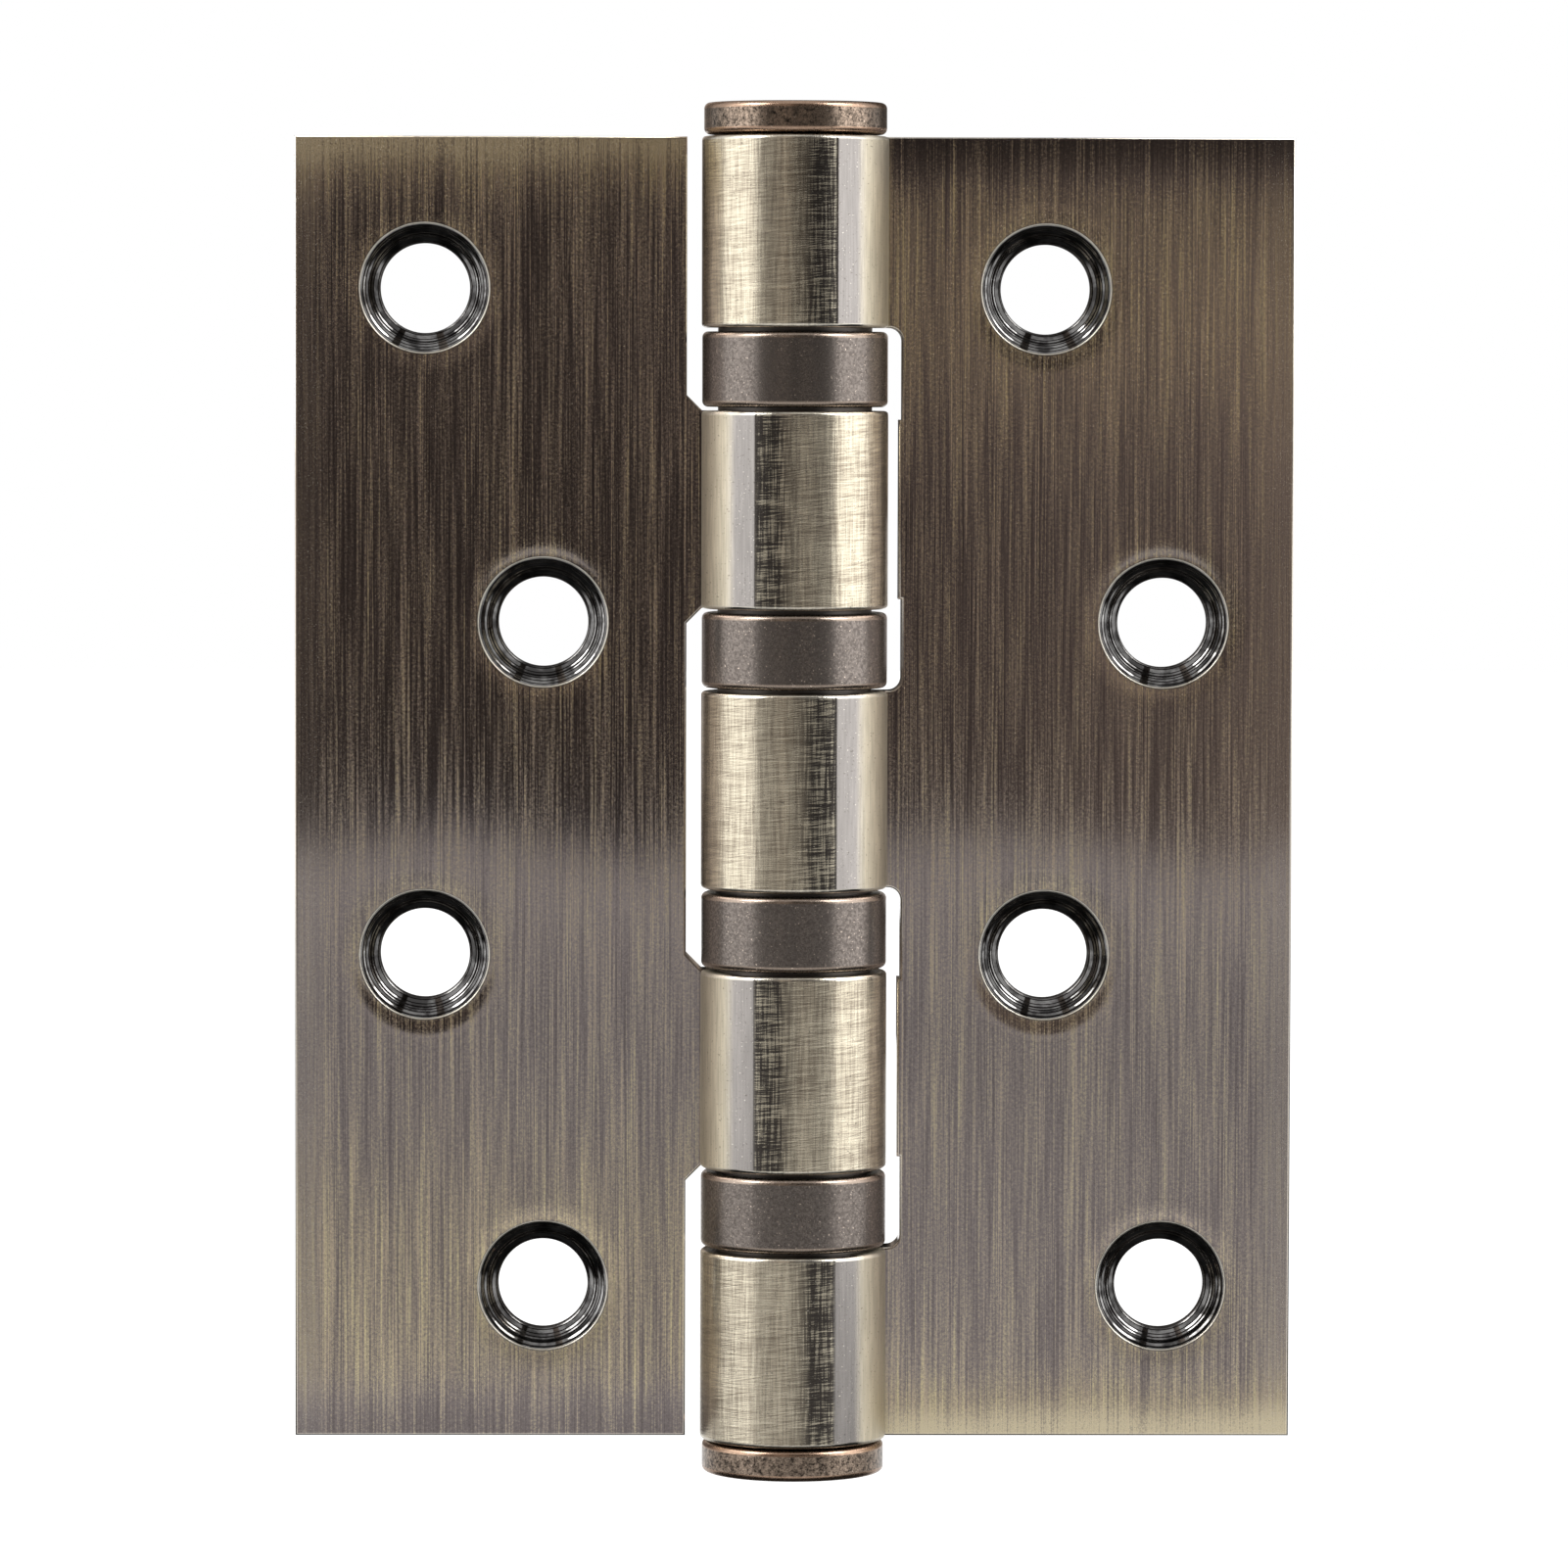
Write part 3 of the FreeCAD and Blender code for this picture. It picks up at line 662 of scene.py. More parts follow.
drift = noise(scaled(flat_place, 0.12, 0.02, shift=5.5))
from_end = (drift - 0.5) * UNEVEN + (height + HALF_HEIGHT)
rub_and_highlight = band(from_end, *RUBBED_AND_HIGHLIGHT_FAR) * RUBBED_AND_HIGHLIGHT_FAR_SHARE + RUBBED_ALL
for start, full, share in RUBBED_AND_HIGHLIGHT_BANDS:
    rub_and_highlight += ranged(from_end, start, full) * share
rub_and_highlight += output_of(tree, "ShaderNodeAttribute", output="Fac", attribute_name="Rubbed") * RUBBED_HOLE_SHARE
kept_shaded_end = ranged(from_end, *KEPT_SHADED_END)
rub_and_highlight *= 1.0 - kept_shaded_end
# Where brass shows: real scratches, widened by the painted highlight bands.
scratch_and_highlight = ranged(streak - 1.0 + rub_and_highlight, -SCRATCH_SPREAD, SCRATCH_SPREAD, kind="LINEAR")

# %% Brushed bronze: colour and surface
# How strongly the far end is painted dark, as painted shade.
END_SHADE_SHARE = 0.40
GRIT_ABOVE = (0.55, 0.85)
GRIT_SHARE = 0.25
SPECK_SHARES = (0.45, 0.90)
SPECK_ROUGH = 0.3
PIT_SHARE = 0.4
# Partly rubbed plating, partly painted highlight: a paler brass strip along the rubbed end.
END_HIGHLIGHT_STRIP = (3.4, 0.6)
WAVES_HIGH = 5.0
BOW_HIGH = 32.0
PLATE_BUMP = 0.0025

brass = layered(blended(grain["Hue"], BRASS_RED, BRASS),
                (maths("SUBTRACT", 1.0, streak, clamp=True), scaled_colour(BRASS_RED, 0.50)),
                (ranged(from_end, *END_HIGHLIGHT_STRIP), END_BRASS_HIGHLIGHT))
grit = ranged(fine["Mottle"], *GRIT_ABOVE) * side_strip
specks = fine["Specks"] * ranged(side_strip, 0.0, 1.0, *SPECK_SHARES)
colour = layered(blended(streak, PATINA_DARK, PATINA_LIGHT),
                 (kept_shaded_end * END_SHADE_SHARE, scaled_colour(PATINA_DARK, 0.4)), (scratch_and_highlight, brass),
                 (worn * WORN_FLAT, PALE_METAL), (grit * GRIT_SHARE, PALE_METAL), (specks, PALE_METAL),
                 (speckle["Pits"] * PIT_SHARE, scaled_colour(PATINA_DARK, 0.3)))
rough = specks * SPECK_ROUGH + between(scratch_and_highlight, PATINA_ROUGHNESS, SCRATCH_ROUGHNESS)
waves = noise(scaled(flat_place, 0.05, 0.05), detail=1.0) * WAVES_HIGH
bow = noise(scaled(flat_place, 0.06, 0.008), detail=1.0) * BOW_HIGH
set_surface(shader, colour, rough, bow + waves + grain["Height"], PLATE_BUMP)

# %% [markdown]
# ## Finish of the knuckles
#
# After rolling, the knuckles were brushed round their barrel with a lighter belt, which cut through to pale
# brass on the side away from the leaf. Close to the leaf the belt didn't reach: there the plating is smooth
# and greyer, and pale again at the sheet's end. Before the smooth part, a band facing the front of each
# knuckle is painted dark: painted shade. The distance along the blank tells these zones apart, because the
# sheet's end lies next to the leaf: each zone is two distances in millimetres, where it begins and where it
# is full. The belt's marks cross in three directions, and their sum looks like a coarse weave.

# %% Brushed brass: weave and zones
KNUCKLE_DARK = rgb(0.220, 0.186, 0.142)
KNUCKLE_LIGHT = rgb(0.530, 0.480, 0.375)
KNUCKLE_SHADE = rgb(0.050, 0.044, 0.039)
KNUCKLE_GREY = rgb(0.195, 0.181, 0.171)
KNUCKLE_PIT = rgb(0.06, 0.05, 0.04)
# Painted shade: a nearly black band down the front of each knuckle, with a few pale marks in it.
PAINTED_SHADE_ZONE = (25.5, 26.9)
SMOOTH_ZONE = (28.15, 28.45)
BRASS_ZONE = (29.7, 30.9)
SHADE_ZONE_MARKS = (0.40, 1.00)
KNUCKLE_SPECKS = 0.5
KNUCKLE_PITS = 0.6
BRUSHED_ROUGHNESS = 0.27
SMOOTH_ROUGHNESS = 0.13
END_ROUGHNESS = 0.50
SLANT = math.radians(13.0)
STRAIGHT_SHARE = 0.74
SLANTED_SHARE = 0.54
WEAVE_DROP = 0.48
SMOOTH_MARKS = 0.06
KNUCKLE_BUMP = 0.006

knuckle_finish, tree, shader = new_metal("brushed brass", BRUSHED_ROUGHNESS, 0.45, 0.25)
flat_place = output_of(tree, "ShaderNodeUVMap", uv_map="Blank")
along, height, _ = axes(flat_place)
turned_place = combined(tree, height, along)
slanted_place = output_of(tree, "ShaderNodeVectorRotate", {"Vector": turned_place, "Angle": SLANT},
                          rotation_type="Z_AXIS")
around = use_group(tree, grain_group, Vector=turned_place, Width=0.125, Length=1.8)
slanted = use_group(tree, grain_group, Vector=slanted_place, Width=0.120, Length=3.0)
upright = use_group(tree, grain_group, Vector=flat_place, Width=0.160, Length=2.4)
speckle = use_group(tree, speckle_group, Vector=flat_place, Size=0.12)
worn = use_group(tree, wear_group, Vector=flat_place, Reach=0.6)["Worn"]
painted_shade_zone, smooth_zone, end_zone = [ranged(along, *zone) for zone in (PAINTED_SHADE_ZONE, SMOOTH_ZONE, BRASS_ZONE)]
weave = (around["Tone"] + upright["Tone"]) * STRAIGHT_SHARE + slanted["Tone"] * SLANTED_SHARE - WEAVE_DROP

# %% Brushed brass: colour and surface
# The painted shade of the front band: nearly black, with pale marks from the weave.
painted_shade_tone = blended(ranged(weave, *SHADE_ZONE_MARKS), KNUCKLE_SHADE, scaled_colour(KNUCKLE_LIGHT, 0.75))
smooth_tone = blended(upright["Tone"], scaled_colour(KNUCKLE_GREY, 0.88), scaled_colour(KNUCKLE_GREY, 1.12))
end_tone = blended(upright["Tone"], scaled_colour(KNUCKLE_LIGHT, 0.78), scaled_colour(KNUCKLE_LIGHT, 1.15))
colour = layered(blended(weave, KNUCKLE_DARK, KNUCKLE_LIGHT), (painted_shade_zone, painted_shade_tone),
                 (smooth_zone, blended(end_zone, smooth_tone, end_tone)), (worn * WORN_FLAT, PALE_METAL),
                 (speckle["Specks"] * KNUCKLE_SPECKS, PALE_METAL),
                 (speckle["Pits"] * KNUCKLE_PITS, KNUCKLE_PIT))
rough = between(end_zone, between(smooth_zone, BRUSHED_ROUGHNESS, SMOOTH_ROUGHNESS), END_ROUGHNESS)
marks = upright["Height"] + (around["Height"] + slanted["Height"])
flatter = ranged(smooth_zone, 0.0, 1.0, 1.0, SMOOTH_MARKS)
set_surface(shader, colour, rough, marks * flatter, KNUCKLE_BUMP)

# %% [markdown]
# ## Finish of the countersinks
#
# A countersink is cut after plating and burnished by its tool. Its cone keeps the tool's rings, which are
# real geometry here. The steel is bright, but most of what it mirrors is its own opposite wall and the dark
# strip below, so it looks nearly black, with sharp hoops where a ring faces a lamp. Its rim is rubbed pale.
# The straight hole behind the cone is left dull, and its wall is painted nearly black as painted shade. The
# piece's own depth tells where that hole begins.

# %% Material: burnished countersink
SINK_DARK = rgb(0.045, 0.043, 0.042)
SINK_LIGHT = rgb(0.220, 0.215, 0.210)
# Painted shade: the colour of the straight hole's wall, nearly black.
HOLE_SHADE = rgb(0.030, 0.027, 0.025)
HOLE_FROM = (2.55 * MM, 2.75 * MM)
SINK_ROUGHNESS = 0.08
LIP_ROUGHNESS = 0.40
HOLE_ROUGHNESS = 0.5
SMEARS = 700.0
SINK_BUMP = 0.004

sink_finish, tree, shader = new_metal("burnished countersink", SINK_ROUGHNESS, 0.4)
flat_place = output_of(tree, "ShaderNodeUVMap", uv_map="Blank")
worn = use_group(tree, wear_group, Vector=flat_place, Reach=0.40)["Worn"]
place = object_place(tree)
smear = noise(place, SMEARS, 3.0, 0.6)
# Where the straight hole begins: it is rougher, and painted dark as painted shade.
in_hole = ranged(axes(place)[1], *HOLE_FROM)
colour = layered(blended(ranged(smear, *HALF_WAY), SINK_DARK, SINK_LIGHT),
                 (worn * WORN_RIM, PALE_METAL), (in_hole, HOLE_SHADE))
rough = maths("MAXIMUM", between(worn, SINK_ROUGHNESS, LIP_ROUGHNESS), in_hole * HOLE_ROUGHNESS)
set_surface(shader, colour, rough, smear, SINK_BUMP)

# %% [markdown]
# ## Finish of buttons and shells
#
# The buttons and the bearing shells are turned parts with an antique copper plating. It is satin and finely
# speckled rather than brushed, and it is rubbed through to bright copper on their rounded rims. One recipe
# makes both, the buttons redder and coarser, the shells browner. It works in Object coordinates, because
# a pattern on those has no seam round a turned piece.

# %% Materials: satin copper
SATIN_ROUGHNESS = 0.28
SATIN_SPREAD = 0.06
SATIN_BUMP = 0.0018
MARKED = 0.9
COPPER_SPECK = rgb(0.75, 0.62, 0.52)
COPPER_PIT = rgb(0.04, 0.03, 0.02)


def satin_copper(name, dark, light, rim, size, pitted):
    """A satin, speckled plating with a rubbed rim."""
    material, tree, shader = new_metal(name, SATIN_ROUGHNESS)
    place = scaled(object_place(tree), 1 / MM, 1 / MM, 1 / MM)
    speckle = use_group(tree, speckle_group, Vector=place, Size=size)
    worn = use_group(tree, wear_group, Vector=place, Reach=0.62)["Worn"]
    colour = layered(blended(speckle["Mottle"], dark, light), (worn * WORN_RIM, rim),
                     (speckle["Specks"] * (MARKED - pitted), COPPER_SPECK),
                     (speckle["Pits"] * pitted, COPPER_PIT))
    rough = between(speckle["Mottle"], SATIN_ROUGHNESS + SATIN_SPREAD, SATIN_ROUGHNESS - SATIN_SPREAD)
    set_surface(shader, colour, rough, speckle["Mottle"], SATIN_BUMP)
    return material


button_finish = satin_copper("satin copper button", rgb(0.020, 0.016, 0.013), rgb(0.290, 0.222, 0.172),
                             rgb(0.340, 0.228, 0.162), 0.18, 0.5)
shell_finish = satin_copper("satin brown shell", rgb(0.082, 0.070, 0.063), rgb(0.168, 0.145, 0.130),
                            rgb(0.270, 0.215, 0.175), 0.11, 0.10)

# %% [markdown]
# ## Finish of shaft, races and balls
#
# The pin's shaft is ground and shows faint rings, the races are hardened and dark, and the balls are
# polished. Little of these shows until the pin is lifted, but the rings and the oil-dark tone are there.
# A noise that is squeezed along the pin's axis draws the rings, and a slow one changes their tone.

# %% Materials: bearing steel
RING_SHARE = 0.6
RING_BUMP = 0.004


def ring_steel(name, dark, light, roughness, rings):
    """Turned steel: fine rings along the pin's axis and a slow change of tone."""
    material, tree, shader = new_metal(name, roughness)
    place = scaled(object_place(tree), 1 / MM, 1 / MM, 1 / MM)
    ring = noise(scaled(place, 0.12, 0.12, rings), 1.0, 3.0, 0.6)
    shade = ring * RING_SHARE + noise(place, 0.25) * (1 - RING_SHARE)
    colour = blended(ranged(shade, *HALF_WAY, kind="LINEAR"), dark, light)
    set_surface(shader, colour, roughness, ring, RING_BUMP)
    return material


shaft_finish = ring_steel("ground shaft", rgb(0.30, 0.26, 0.22), rgb(0.52, 0.48, 0.43), 0.25, 7.0)
race_finish = ring_steel("dark race steel", rgb(0.030, 0.026, 0.023), rgb(0.085, 0.076, 0.069), 0.40, 9.0)
ball_finish = ring_steel("polished balls", rgb(0.70, 0.70, 0.71), rgb(0.82, 0.82, 0.83), 0.08, 1.5)

# %% [markdown]
# ## The sheet metal, drawn flat
#
# Both leaves start as the same kind of flat blank: a plate with straps that are later rolled into
# knuckles. The blank is drawn in the sheet's own plane, where a point has a distance along the sheet, from
# the line where the bend starts, and a height. Every outline point then gets a stack of points through the
# thickness that follows the rounded edge. A flat blank is easy to check, and the folding rule below turns
# it into the leaf in one step.

# %% Outline of a blank
BEND_STEPS = 8
ROLL_STEPS = 120
STRAP_START = -0.4
CORNER_STEPS = 8

roll_length = strap_end(0.0) - BEND_LENGTH
strap_stations = [STRAP_START, 0.0]
strap_stations += [BEND_LENGTH * step / BEND_STEPS for step in range(1, BEND_STEPS + 1)]
strap_stations += [BEND_LENGTH + roll_length * step / ROLL_STEPS for step in range(1, ROLL_STEPS + 1)]


def corner_points(kind, size, across, height, side):
    """Points of a slot's corner, from the strap's side edge to the slot line; side is +1 above a strap."""
    if kind == "chamfer":
        return [(across + size, height), (across, height + side * size)]
    middle = (across + size, height + side * size)
    angles = [math.pi / 2 * step / CORNER_STEPS for step in range(CORNER_STEPS + 1)]
    return [(middle[0] - size * math.sin(angle), middle[1] - side * size * math.cos(angle))
            for angle in angles]


def blank_outline(straps, corner, slot_line, relief):
    """The blank's outline, counter-clockwise, with the places of each strap's two side edges in it."""
    kind, size = corner
    points = [(PLATE_END, -HALF_HEIGHT)]
    places = []
    for number, (low, high) in enumerate(straps):
        if low > -HALF_HEIGHT:
            if number == 0:
                points.append((slot_line, -HALF_HEIGHT))
            points += corner_points(kind, size, slot_line, low, -1)[::-1]
        first = len(points)
        points += [(station, low) for station in strap_stations]
        second = len(points)
        points += [(station, high) for station in reversed(strap_stations)]
        places.append((first, second))
        if high < HALF_HEIGHT:
            points += corner_points(kind, size, slot_line, high, 1)
            if number + 1 == len(straps):
                points.append((slot_line, HALF_HEIGHT))
            elif relief:
                shallow, overlap = relief
                bottom = high + BEARING_SPACE + overlap
                top = straps[number + 1][0] - BEARING_SPACE - overlap
                points += [(slot_line, bottom), (shallow, bottom), (shallow, top), (slot_line, top)]
    points.append((PLATE_END, HALF_HEIGHT))
    return points, places


# %% [markdown]
# The edge is not sharp: sheared sheet is tumbled before plating. Each outline point moves inwards along the
# two edges that meet there, by a distance that shrinks from the flat to the side along a quarter circle.
# A support ring just inside keeps the flats flat when the surface is shaded smooth. The straps' outer edges
# are rounded twice as much, as the photograph shows on the knuckle ends.

# %% Through the thickness
EDGE_ROUND = 0.15
RIM_ROUND = 0.30
SUPPORT = 0.05
ROUND_STEPS = 4
HALF_GAUGE = GAUGE / 2

quarter = [math.pi / 2 * step / ROUND_STEPS for step in range(ROUND_STEPS + 1)]
edge_arc = [(1 - math.sin(angle), 1 - math.cos(angle)) for angle in quarter]


def inset_points(points, distances):
    """Each point moved inwards by its own distance, measured square to both of its edges."""
    moved = []
    for index, (across, up) in enumerate(points):
        before = points[index - 1]
        after = points[(index + 1) % len(points)]
        first = Vector((across - before[0], up - before[1])).normalized()
        second = Vector((after[0] - across, after[1] - up)).normalized()
        inward = Vector((-first.y - second.y, first.x + second.x))
        inward /= 1.0 + first.dot(second)
        moved.append((across + inward.x * distances[index], up + inward.y * distances[index]))
    return moved


def edge_profile(front_round, back_round):
    """Inset, depth and wear from the front flat, round the edge, to the back flat."""
    front = [(front_round * aside, -HALF_GAUGE + front_round * below, 1.0) for aside, below in edge_arc]
    back = [(back_round * below, HALF_GAUGE - back_round * aside, 1.0) for aside, below in edge_arc]
    side = [(0.0, -HALF_GAUGE + front_round + SUPPORT, 0.0), (0.0, HALF_GAUGE - back_round - SUPPORT, 0.0)]
    return ([(front_round + SUPPORT, -HALF_GAUGE, 0.0)] + front + side + back
            + [(back_round + SUPPORT, HALF_GAUGE, 0.0)])


# %% [markdown]
# The screw holes leave round openings in the blank's two flats, and the flats themselves are filled by a
# constrained triangulation, which takes the outline and the openings as fixed edges. The straps need rows of
# long narrow faces instead, because they bend, so each strap is filled from side to side.

# %% Fill the flats
HOLE_SEGMENTS = 96
INSIDE_OUTLINE = 1
SAME_POINT = 1e-7
IN_OPENING = 0.98


def ring_points(centre, radius, count=HOLE_SEGMENTS):
    """Points of a circle in a plane."""
    angles = [2 * math.pi * step / count for step in range(count)]
    return [(centre[0] + radius * math.cos(angle), centre[1] + radius * math.sin(angle)) for angle in angles]


def filled_flat(border, holes, radius):
    """Triangles between a border and its round openings, as places in border + the openings' points."""
    points = list(border)
    loops = [list(range(len(border)))]
    for centre in holes:
        start = len(points)
        points += ring_points(centre, radius)
        loops.append(list(range(start, len(points))))
    edges = [(loop[step - 1], loop[step]) for loop in loops for step in range(len(loop))]
    made = geometry.delaunay_2d_cdt([Vector(point) for point in points], edges, [loops[0]],
                                    INSIDE_OUTLINE, SAME_POINT)
    corners, faces, sources = made[0], made[2], made[3]
    kept = []
    for face in faces:
        middle = sum((corners[corner] for corner in face), Vector((0.0, 0.0))) / len(face)
        if all((middle - Vector(centre)).length > radius * IN_OPENING for centre in holes):
            kept.append([sources[corner][0] for corner in face])
    return points, kept


# %% [markdown]
# Now the blank can be made. A face on the front runs counter-clockwise as seen from the front, and one on
# the back the other way, so that every face points out of the metal. Each face notes whether it belongs to
# the plate, a knuckle or a countersink, and each corner keeps its flat place as a UV map, which the brushed
# finishes follow after the sheet is rolled.

# %% Build a mesh with its attributes
PLATE, KNUCKLE, SINK = 0, 1, 2


def build_mesh(name, vertices, faces, wear, flat_places=None, regions=None, rubbed=None):
    """A smooth mesh in metres from millimetre vertices, with its Wear, its UV map and its regions."""
    mesh = bpy.data.meshes.new(name)
    mesh.from_pydata([Vector(vertex) * MM for vertex in vertices], [], faces, shade_flat=False)
    mesh.attributes.new("Wear", "FLOAT", "POINT").data.foreach_set("value", wear)
    if rubbed:
        mesh.attributes.new("Rubbed", "FLOAT", "POINT").data.foreach_set("value", rubbed)
    if flat_places:
        layer = mesh.uv_layers.new(name="Blank")
        for loop in mesh.loops:
            layer.uv[loop.index].vector = flat_places[loop.vertex_index]
    if regions:
        mesh.attributes.new("Region", "INT", "FACE").data.foreach_set("value", regions)
    mesh.validate()
    return mesh


def new_object(name, mesh):
    """The mesh as an object at the origin."""
    piece = bpy.data.objects.new(name, mesh)
    scene.collection.objects.link(piece)
    return piece


def put_in_place(piece, node, body):
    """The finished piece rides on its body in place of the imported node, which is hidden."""
    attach(piece, body)
    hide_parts(node)


# %% Build a blank
SINK_RADIUS = 5.0
HOLE_RADIUS = 3.5
LIP_ROUND = 0.11
DISH_RADIUS = 6.9
DISH_DEPTH = 0.035
DISH_RINGS = 5


def make_blank(name, straps, corner, slot_line, relief, holes):
    """The flat blank of one leaf, with rounded edges and open hole rings, at z = height and x = distance."""
    outline, places = blank_outline(straps, corner, slot_line, relief)
    count = len(outline)
    last = len(strap_stations) - 1
    on_strap = {index for first, second in places for index in range(first, second + last + 1)}
    profiles = {True: edge_profile(EDGE_ROUND, RIM_ROUND), False: edge_profile(EDGE_ROUND, EDGE_ROUND)}
    rings = len(profiles[True])
    vertices, wear, faces, regions = [], [], [], []
    for ring in range(rings):
        rows = [profiles[index in on_strap][ring] for index in range(count)]
        moved = inset_points(outline, [row[0] for row in rows])
        for (across, up), (_, depth, worn), (station, _) in zip(moved, rows, outline):
            at_end = station >= strap_stations[-1]
            bevel = strap_end(depth) - strap_end(0.0) if at_end else 0.0
            vertices.append((across + bevel, depth, up))
            wear.append(0.0 if at_end else worn)
    for ring in range(rings - 1):
        near, far = ring * count, (ring + 1) * count
        for index in range(count):
            after = (index + 1) % count
            faces.append((near + index, far + index, far + after, near + after))
            regions.append(KNUCKLE if {index, after} <= on_strap else PLATE)
    strap_roots = [index for first, second in places for index in (first, second + last)]
    border_places = sorted([index for index in range(count) if index not in on_strap] + strap_roots)
    for ring, radius, turn in ((0, DISH_RADIUS, 1), (rings - 1, HOLE_RADIUS + LIP_ROUND + SUPPORT, -1)):
        base = ring * count
        names = [base + index for index in border_places]
        border = [(vertices[index][0], vertices[index][2]) for index in names]
        points, triangles = filled_flat(border, holes, radius)
        opening = points[len(border):]
        names += range(len(vertices), len(vertices) + len(opening))
        depth = vertices[base][1]
        vertices += [(across, depth, up) for across, up in opening]
        wear += [0.0] * len(opening)
        faces += [[names[corner] for corner in triangle][::turn] for triangle in triangles]
        regions += [PLATE] * len(triangles)
        for first, second in places:
            for step in range(last):
                low, high = base + first + step, base + second + last - step
                faces.append((low, low + 1, high - 1, high)[::turn])
                regions.append(KNUCKLE)
    mesh = build_mesh(name, vertices, faces, wear, regions=regions)
    mesh.materials.append(plate_finish)
    print("%s: %d faces" % (name, len(mesh.polygons)))
    return new_object(name, mesh)


# %% [markdown]
# ## One countersink
#
# The eight screw holes are alike, so one is made and set in place eight times. It is a turned shape: a
# shallow dish that blends into the flat, a short straight lip, an 82 degree cone with the tool's rings, and
# a straight hole. The rings are small steps of a few hundredths of a millimetre, and they are what breaks
# the reflection into bright and dark hoops.

# %% Countersink
SINK_LIP = 0.25
SINK_ANGLE = math.radians(82.0)
RING_TILTS = (55, 55, 55, 38, 38, 38, 55, 55, 55, 55, 39, 39, 55, 39, 39, 39, 56, 56, 56, 56, 56, 38, 38, 38)


def countersink_profile():
    """Radius, depth, wear and rubbing from the front flat to the back flat."""
    blend = SINK_RADIUS + LIP_ROUND + SUPPORT - DISH_RADIUS
    shares = [ring / DISH_RINGS for ring in range(DISH_RINGS + 1)]
    profile = [(DISH_RADIUS + blend * share, -HALF_GAUGE + DISH_DEPTH * share ** 2, 0.0, share)
               for share in shares]
    face = -HALF_GAUGE + DISH_DEPTH
    profile += [(SINK_RADIUS + LIP_ROUND * aside, face + LIP_ROUND * below, 1.0, 1.0)
                for aside, below in edge_arc]
    cone_top = -HALF_GAUGE + SINK_LIP
    profile.append((SINK_RADIUS, cone_top, 0.0, 0.0))
    cone_width = SINK_RADIUS - HOLE_RADIUS
    cone_depth = cone_width / math.tan(SINK_ANGLE / 2)
    rises = [math.tan(math.radians(tilt)) for tilt in RING_TILTS]
    for step in range(1, len(rises)):
        risen = sum(rises[:step]) / sum(rises)
        radius = SINK_RADIUS - cone_width * step / len(rises)
        profile.append((radius, cone_top + cone_depth * risen, 0.0, 0.0))
    profile.append((HOLE_RADIUS, cone_top + cone_depth, 0.0, 0.0))
    profile.append((HOLE_RADIUS, HALF_GAUGE - LIP_ROUND - SUPPORT, 0.0, 0.0))
    profile += [(HOLE_RADIUS + LIP_ROUND * below, HALF_GAUGE - LIP_ROUND * aside, 1.0, 0.0)
                for aside, below in edge_arc]
    profile.append((HOLE_RADIUS + LIP_ROUND + SUPPORT, HALF_GAUGE, 0.0, 0.0))
    return profile


def make_countersink():
    """The wall of one hole about the sheet's thickness axis, open at both ends."""
    profile = countersink_profile()
    vertices, wear, rubbed, faces, flat_places = [], [], [], [], []
    run = 0.0
    for step, (radius, depth, worn, rubbing) in enumerate(profile):
        if step:
            run += math.dist((radius, depth), profile[step - 1][:2])
        for across, up in ring_points((0.0, 0.0), radius):
            vertices.append((across, depth, up))
            flat_places.append((run, SINK_RADIUS * math.atan2(up, across)))
        wear += [worn] * HOLE_SEGMENTS
        rubbed += [rubbing] * HOLE_SEGMENTS
    for ring in range(len(profile) - 1):
        near, far = ring * HOLE_SEGMENTS, (ring + 1) * HOLE_SEGMENTS
        for index in range(HOLE_SEGMENTS):
            after = (index + 1) % HOLE_SEGMENTS
            faces.append((near + index, near + after, far + after, far + index))
    regions = [PLATE] * (DISH_RINGS * HOLE_SEGMENTS)
    regions += [SINK] * (len(faces) - len(regions))
    mesh = build_mesh("countersink", vertices, faces, wear, flat_places, regions, rubbed)
    mesh.materials.append(plate_finish)
    return new_object("countersink", mesh)


countersink = make_countersink()
print("Countersink faces:", len(countersink.data.polygons))

# %% [markdown]
# ## The folding tree
#
# A leaf is bent and rolled from its blank by one rule, so Geometry Nodes do it. The tree first sets a
# countersink on each hole centre and merges it with the sheet. Then every point moves by its distance along
# the sheet: not at all on the plate, round the root bend, and round the pin on the knuckle. Depth in the
# sheet becomes radius, so the back of the plate becomes the outside of the barrel. The door leaf is the same
# fold turned half a turn, and at the end each region gets its finish.

# %% Geometry tree helpers
GEOMETRY = {"Geometry": ["Geometry"]}


def after_node(kind, shape, inputs=(), **options):
    """The geometry that one node makes of a shape."""
    return output_of(shape.tree, "GeometryNode" + kind, {"Geometry": shape, **dict(inputs)}, **options)


def grow(piece, tree, values):
    """Runs the tree on the piece with its inputs set, and leaves a plain mesh with no modifier."""
    modifier = piece.modifiers.new(tree.name, "NODES")
    modifier.node_group = tree
    for item in tree.interface.items_tree:
        if item.in_out == "INPUT" and item.name in values:
            modifier[item.identifier] = values[item.name]
    graph = bpy.context.evaluated_depsgraph_get()
    mesh = bpy.data.meshes.new_from_object(piece.evaluated_get(graph))
    old = piece.data
    piece.modifiers.clear()
    piece.data = mesh
    bpy.data.meshes.remove(old)
    mesh.name = piece.name
    return piece


# %% Fold a leaf: sheet and countersinks
WELD = 0.002

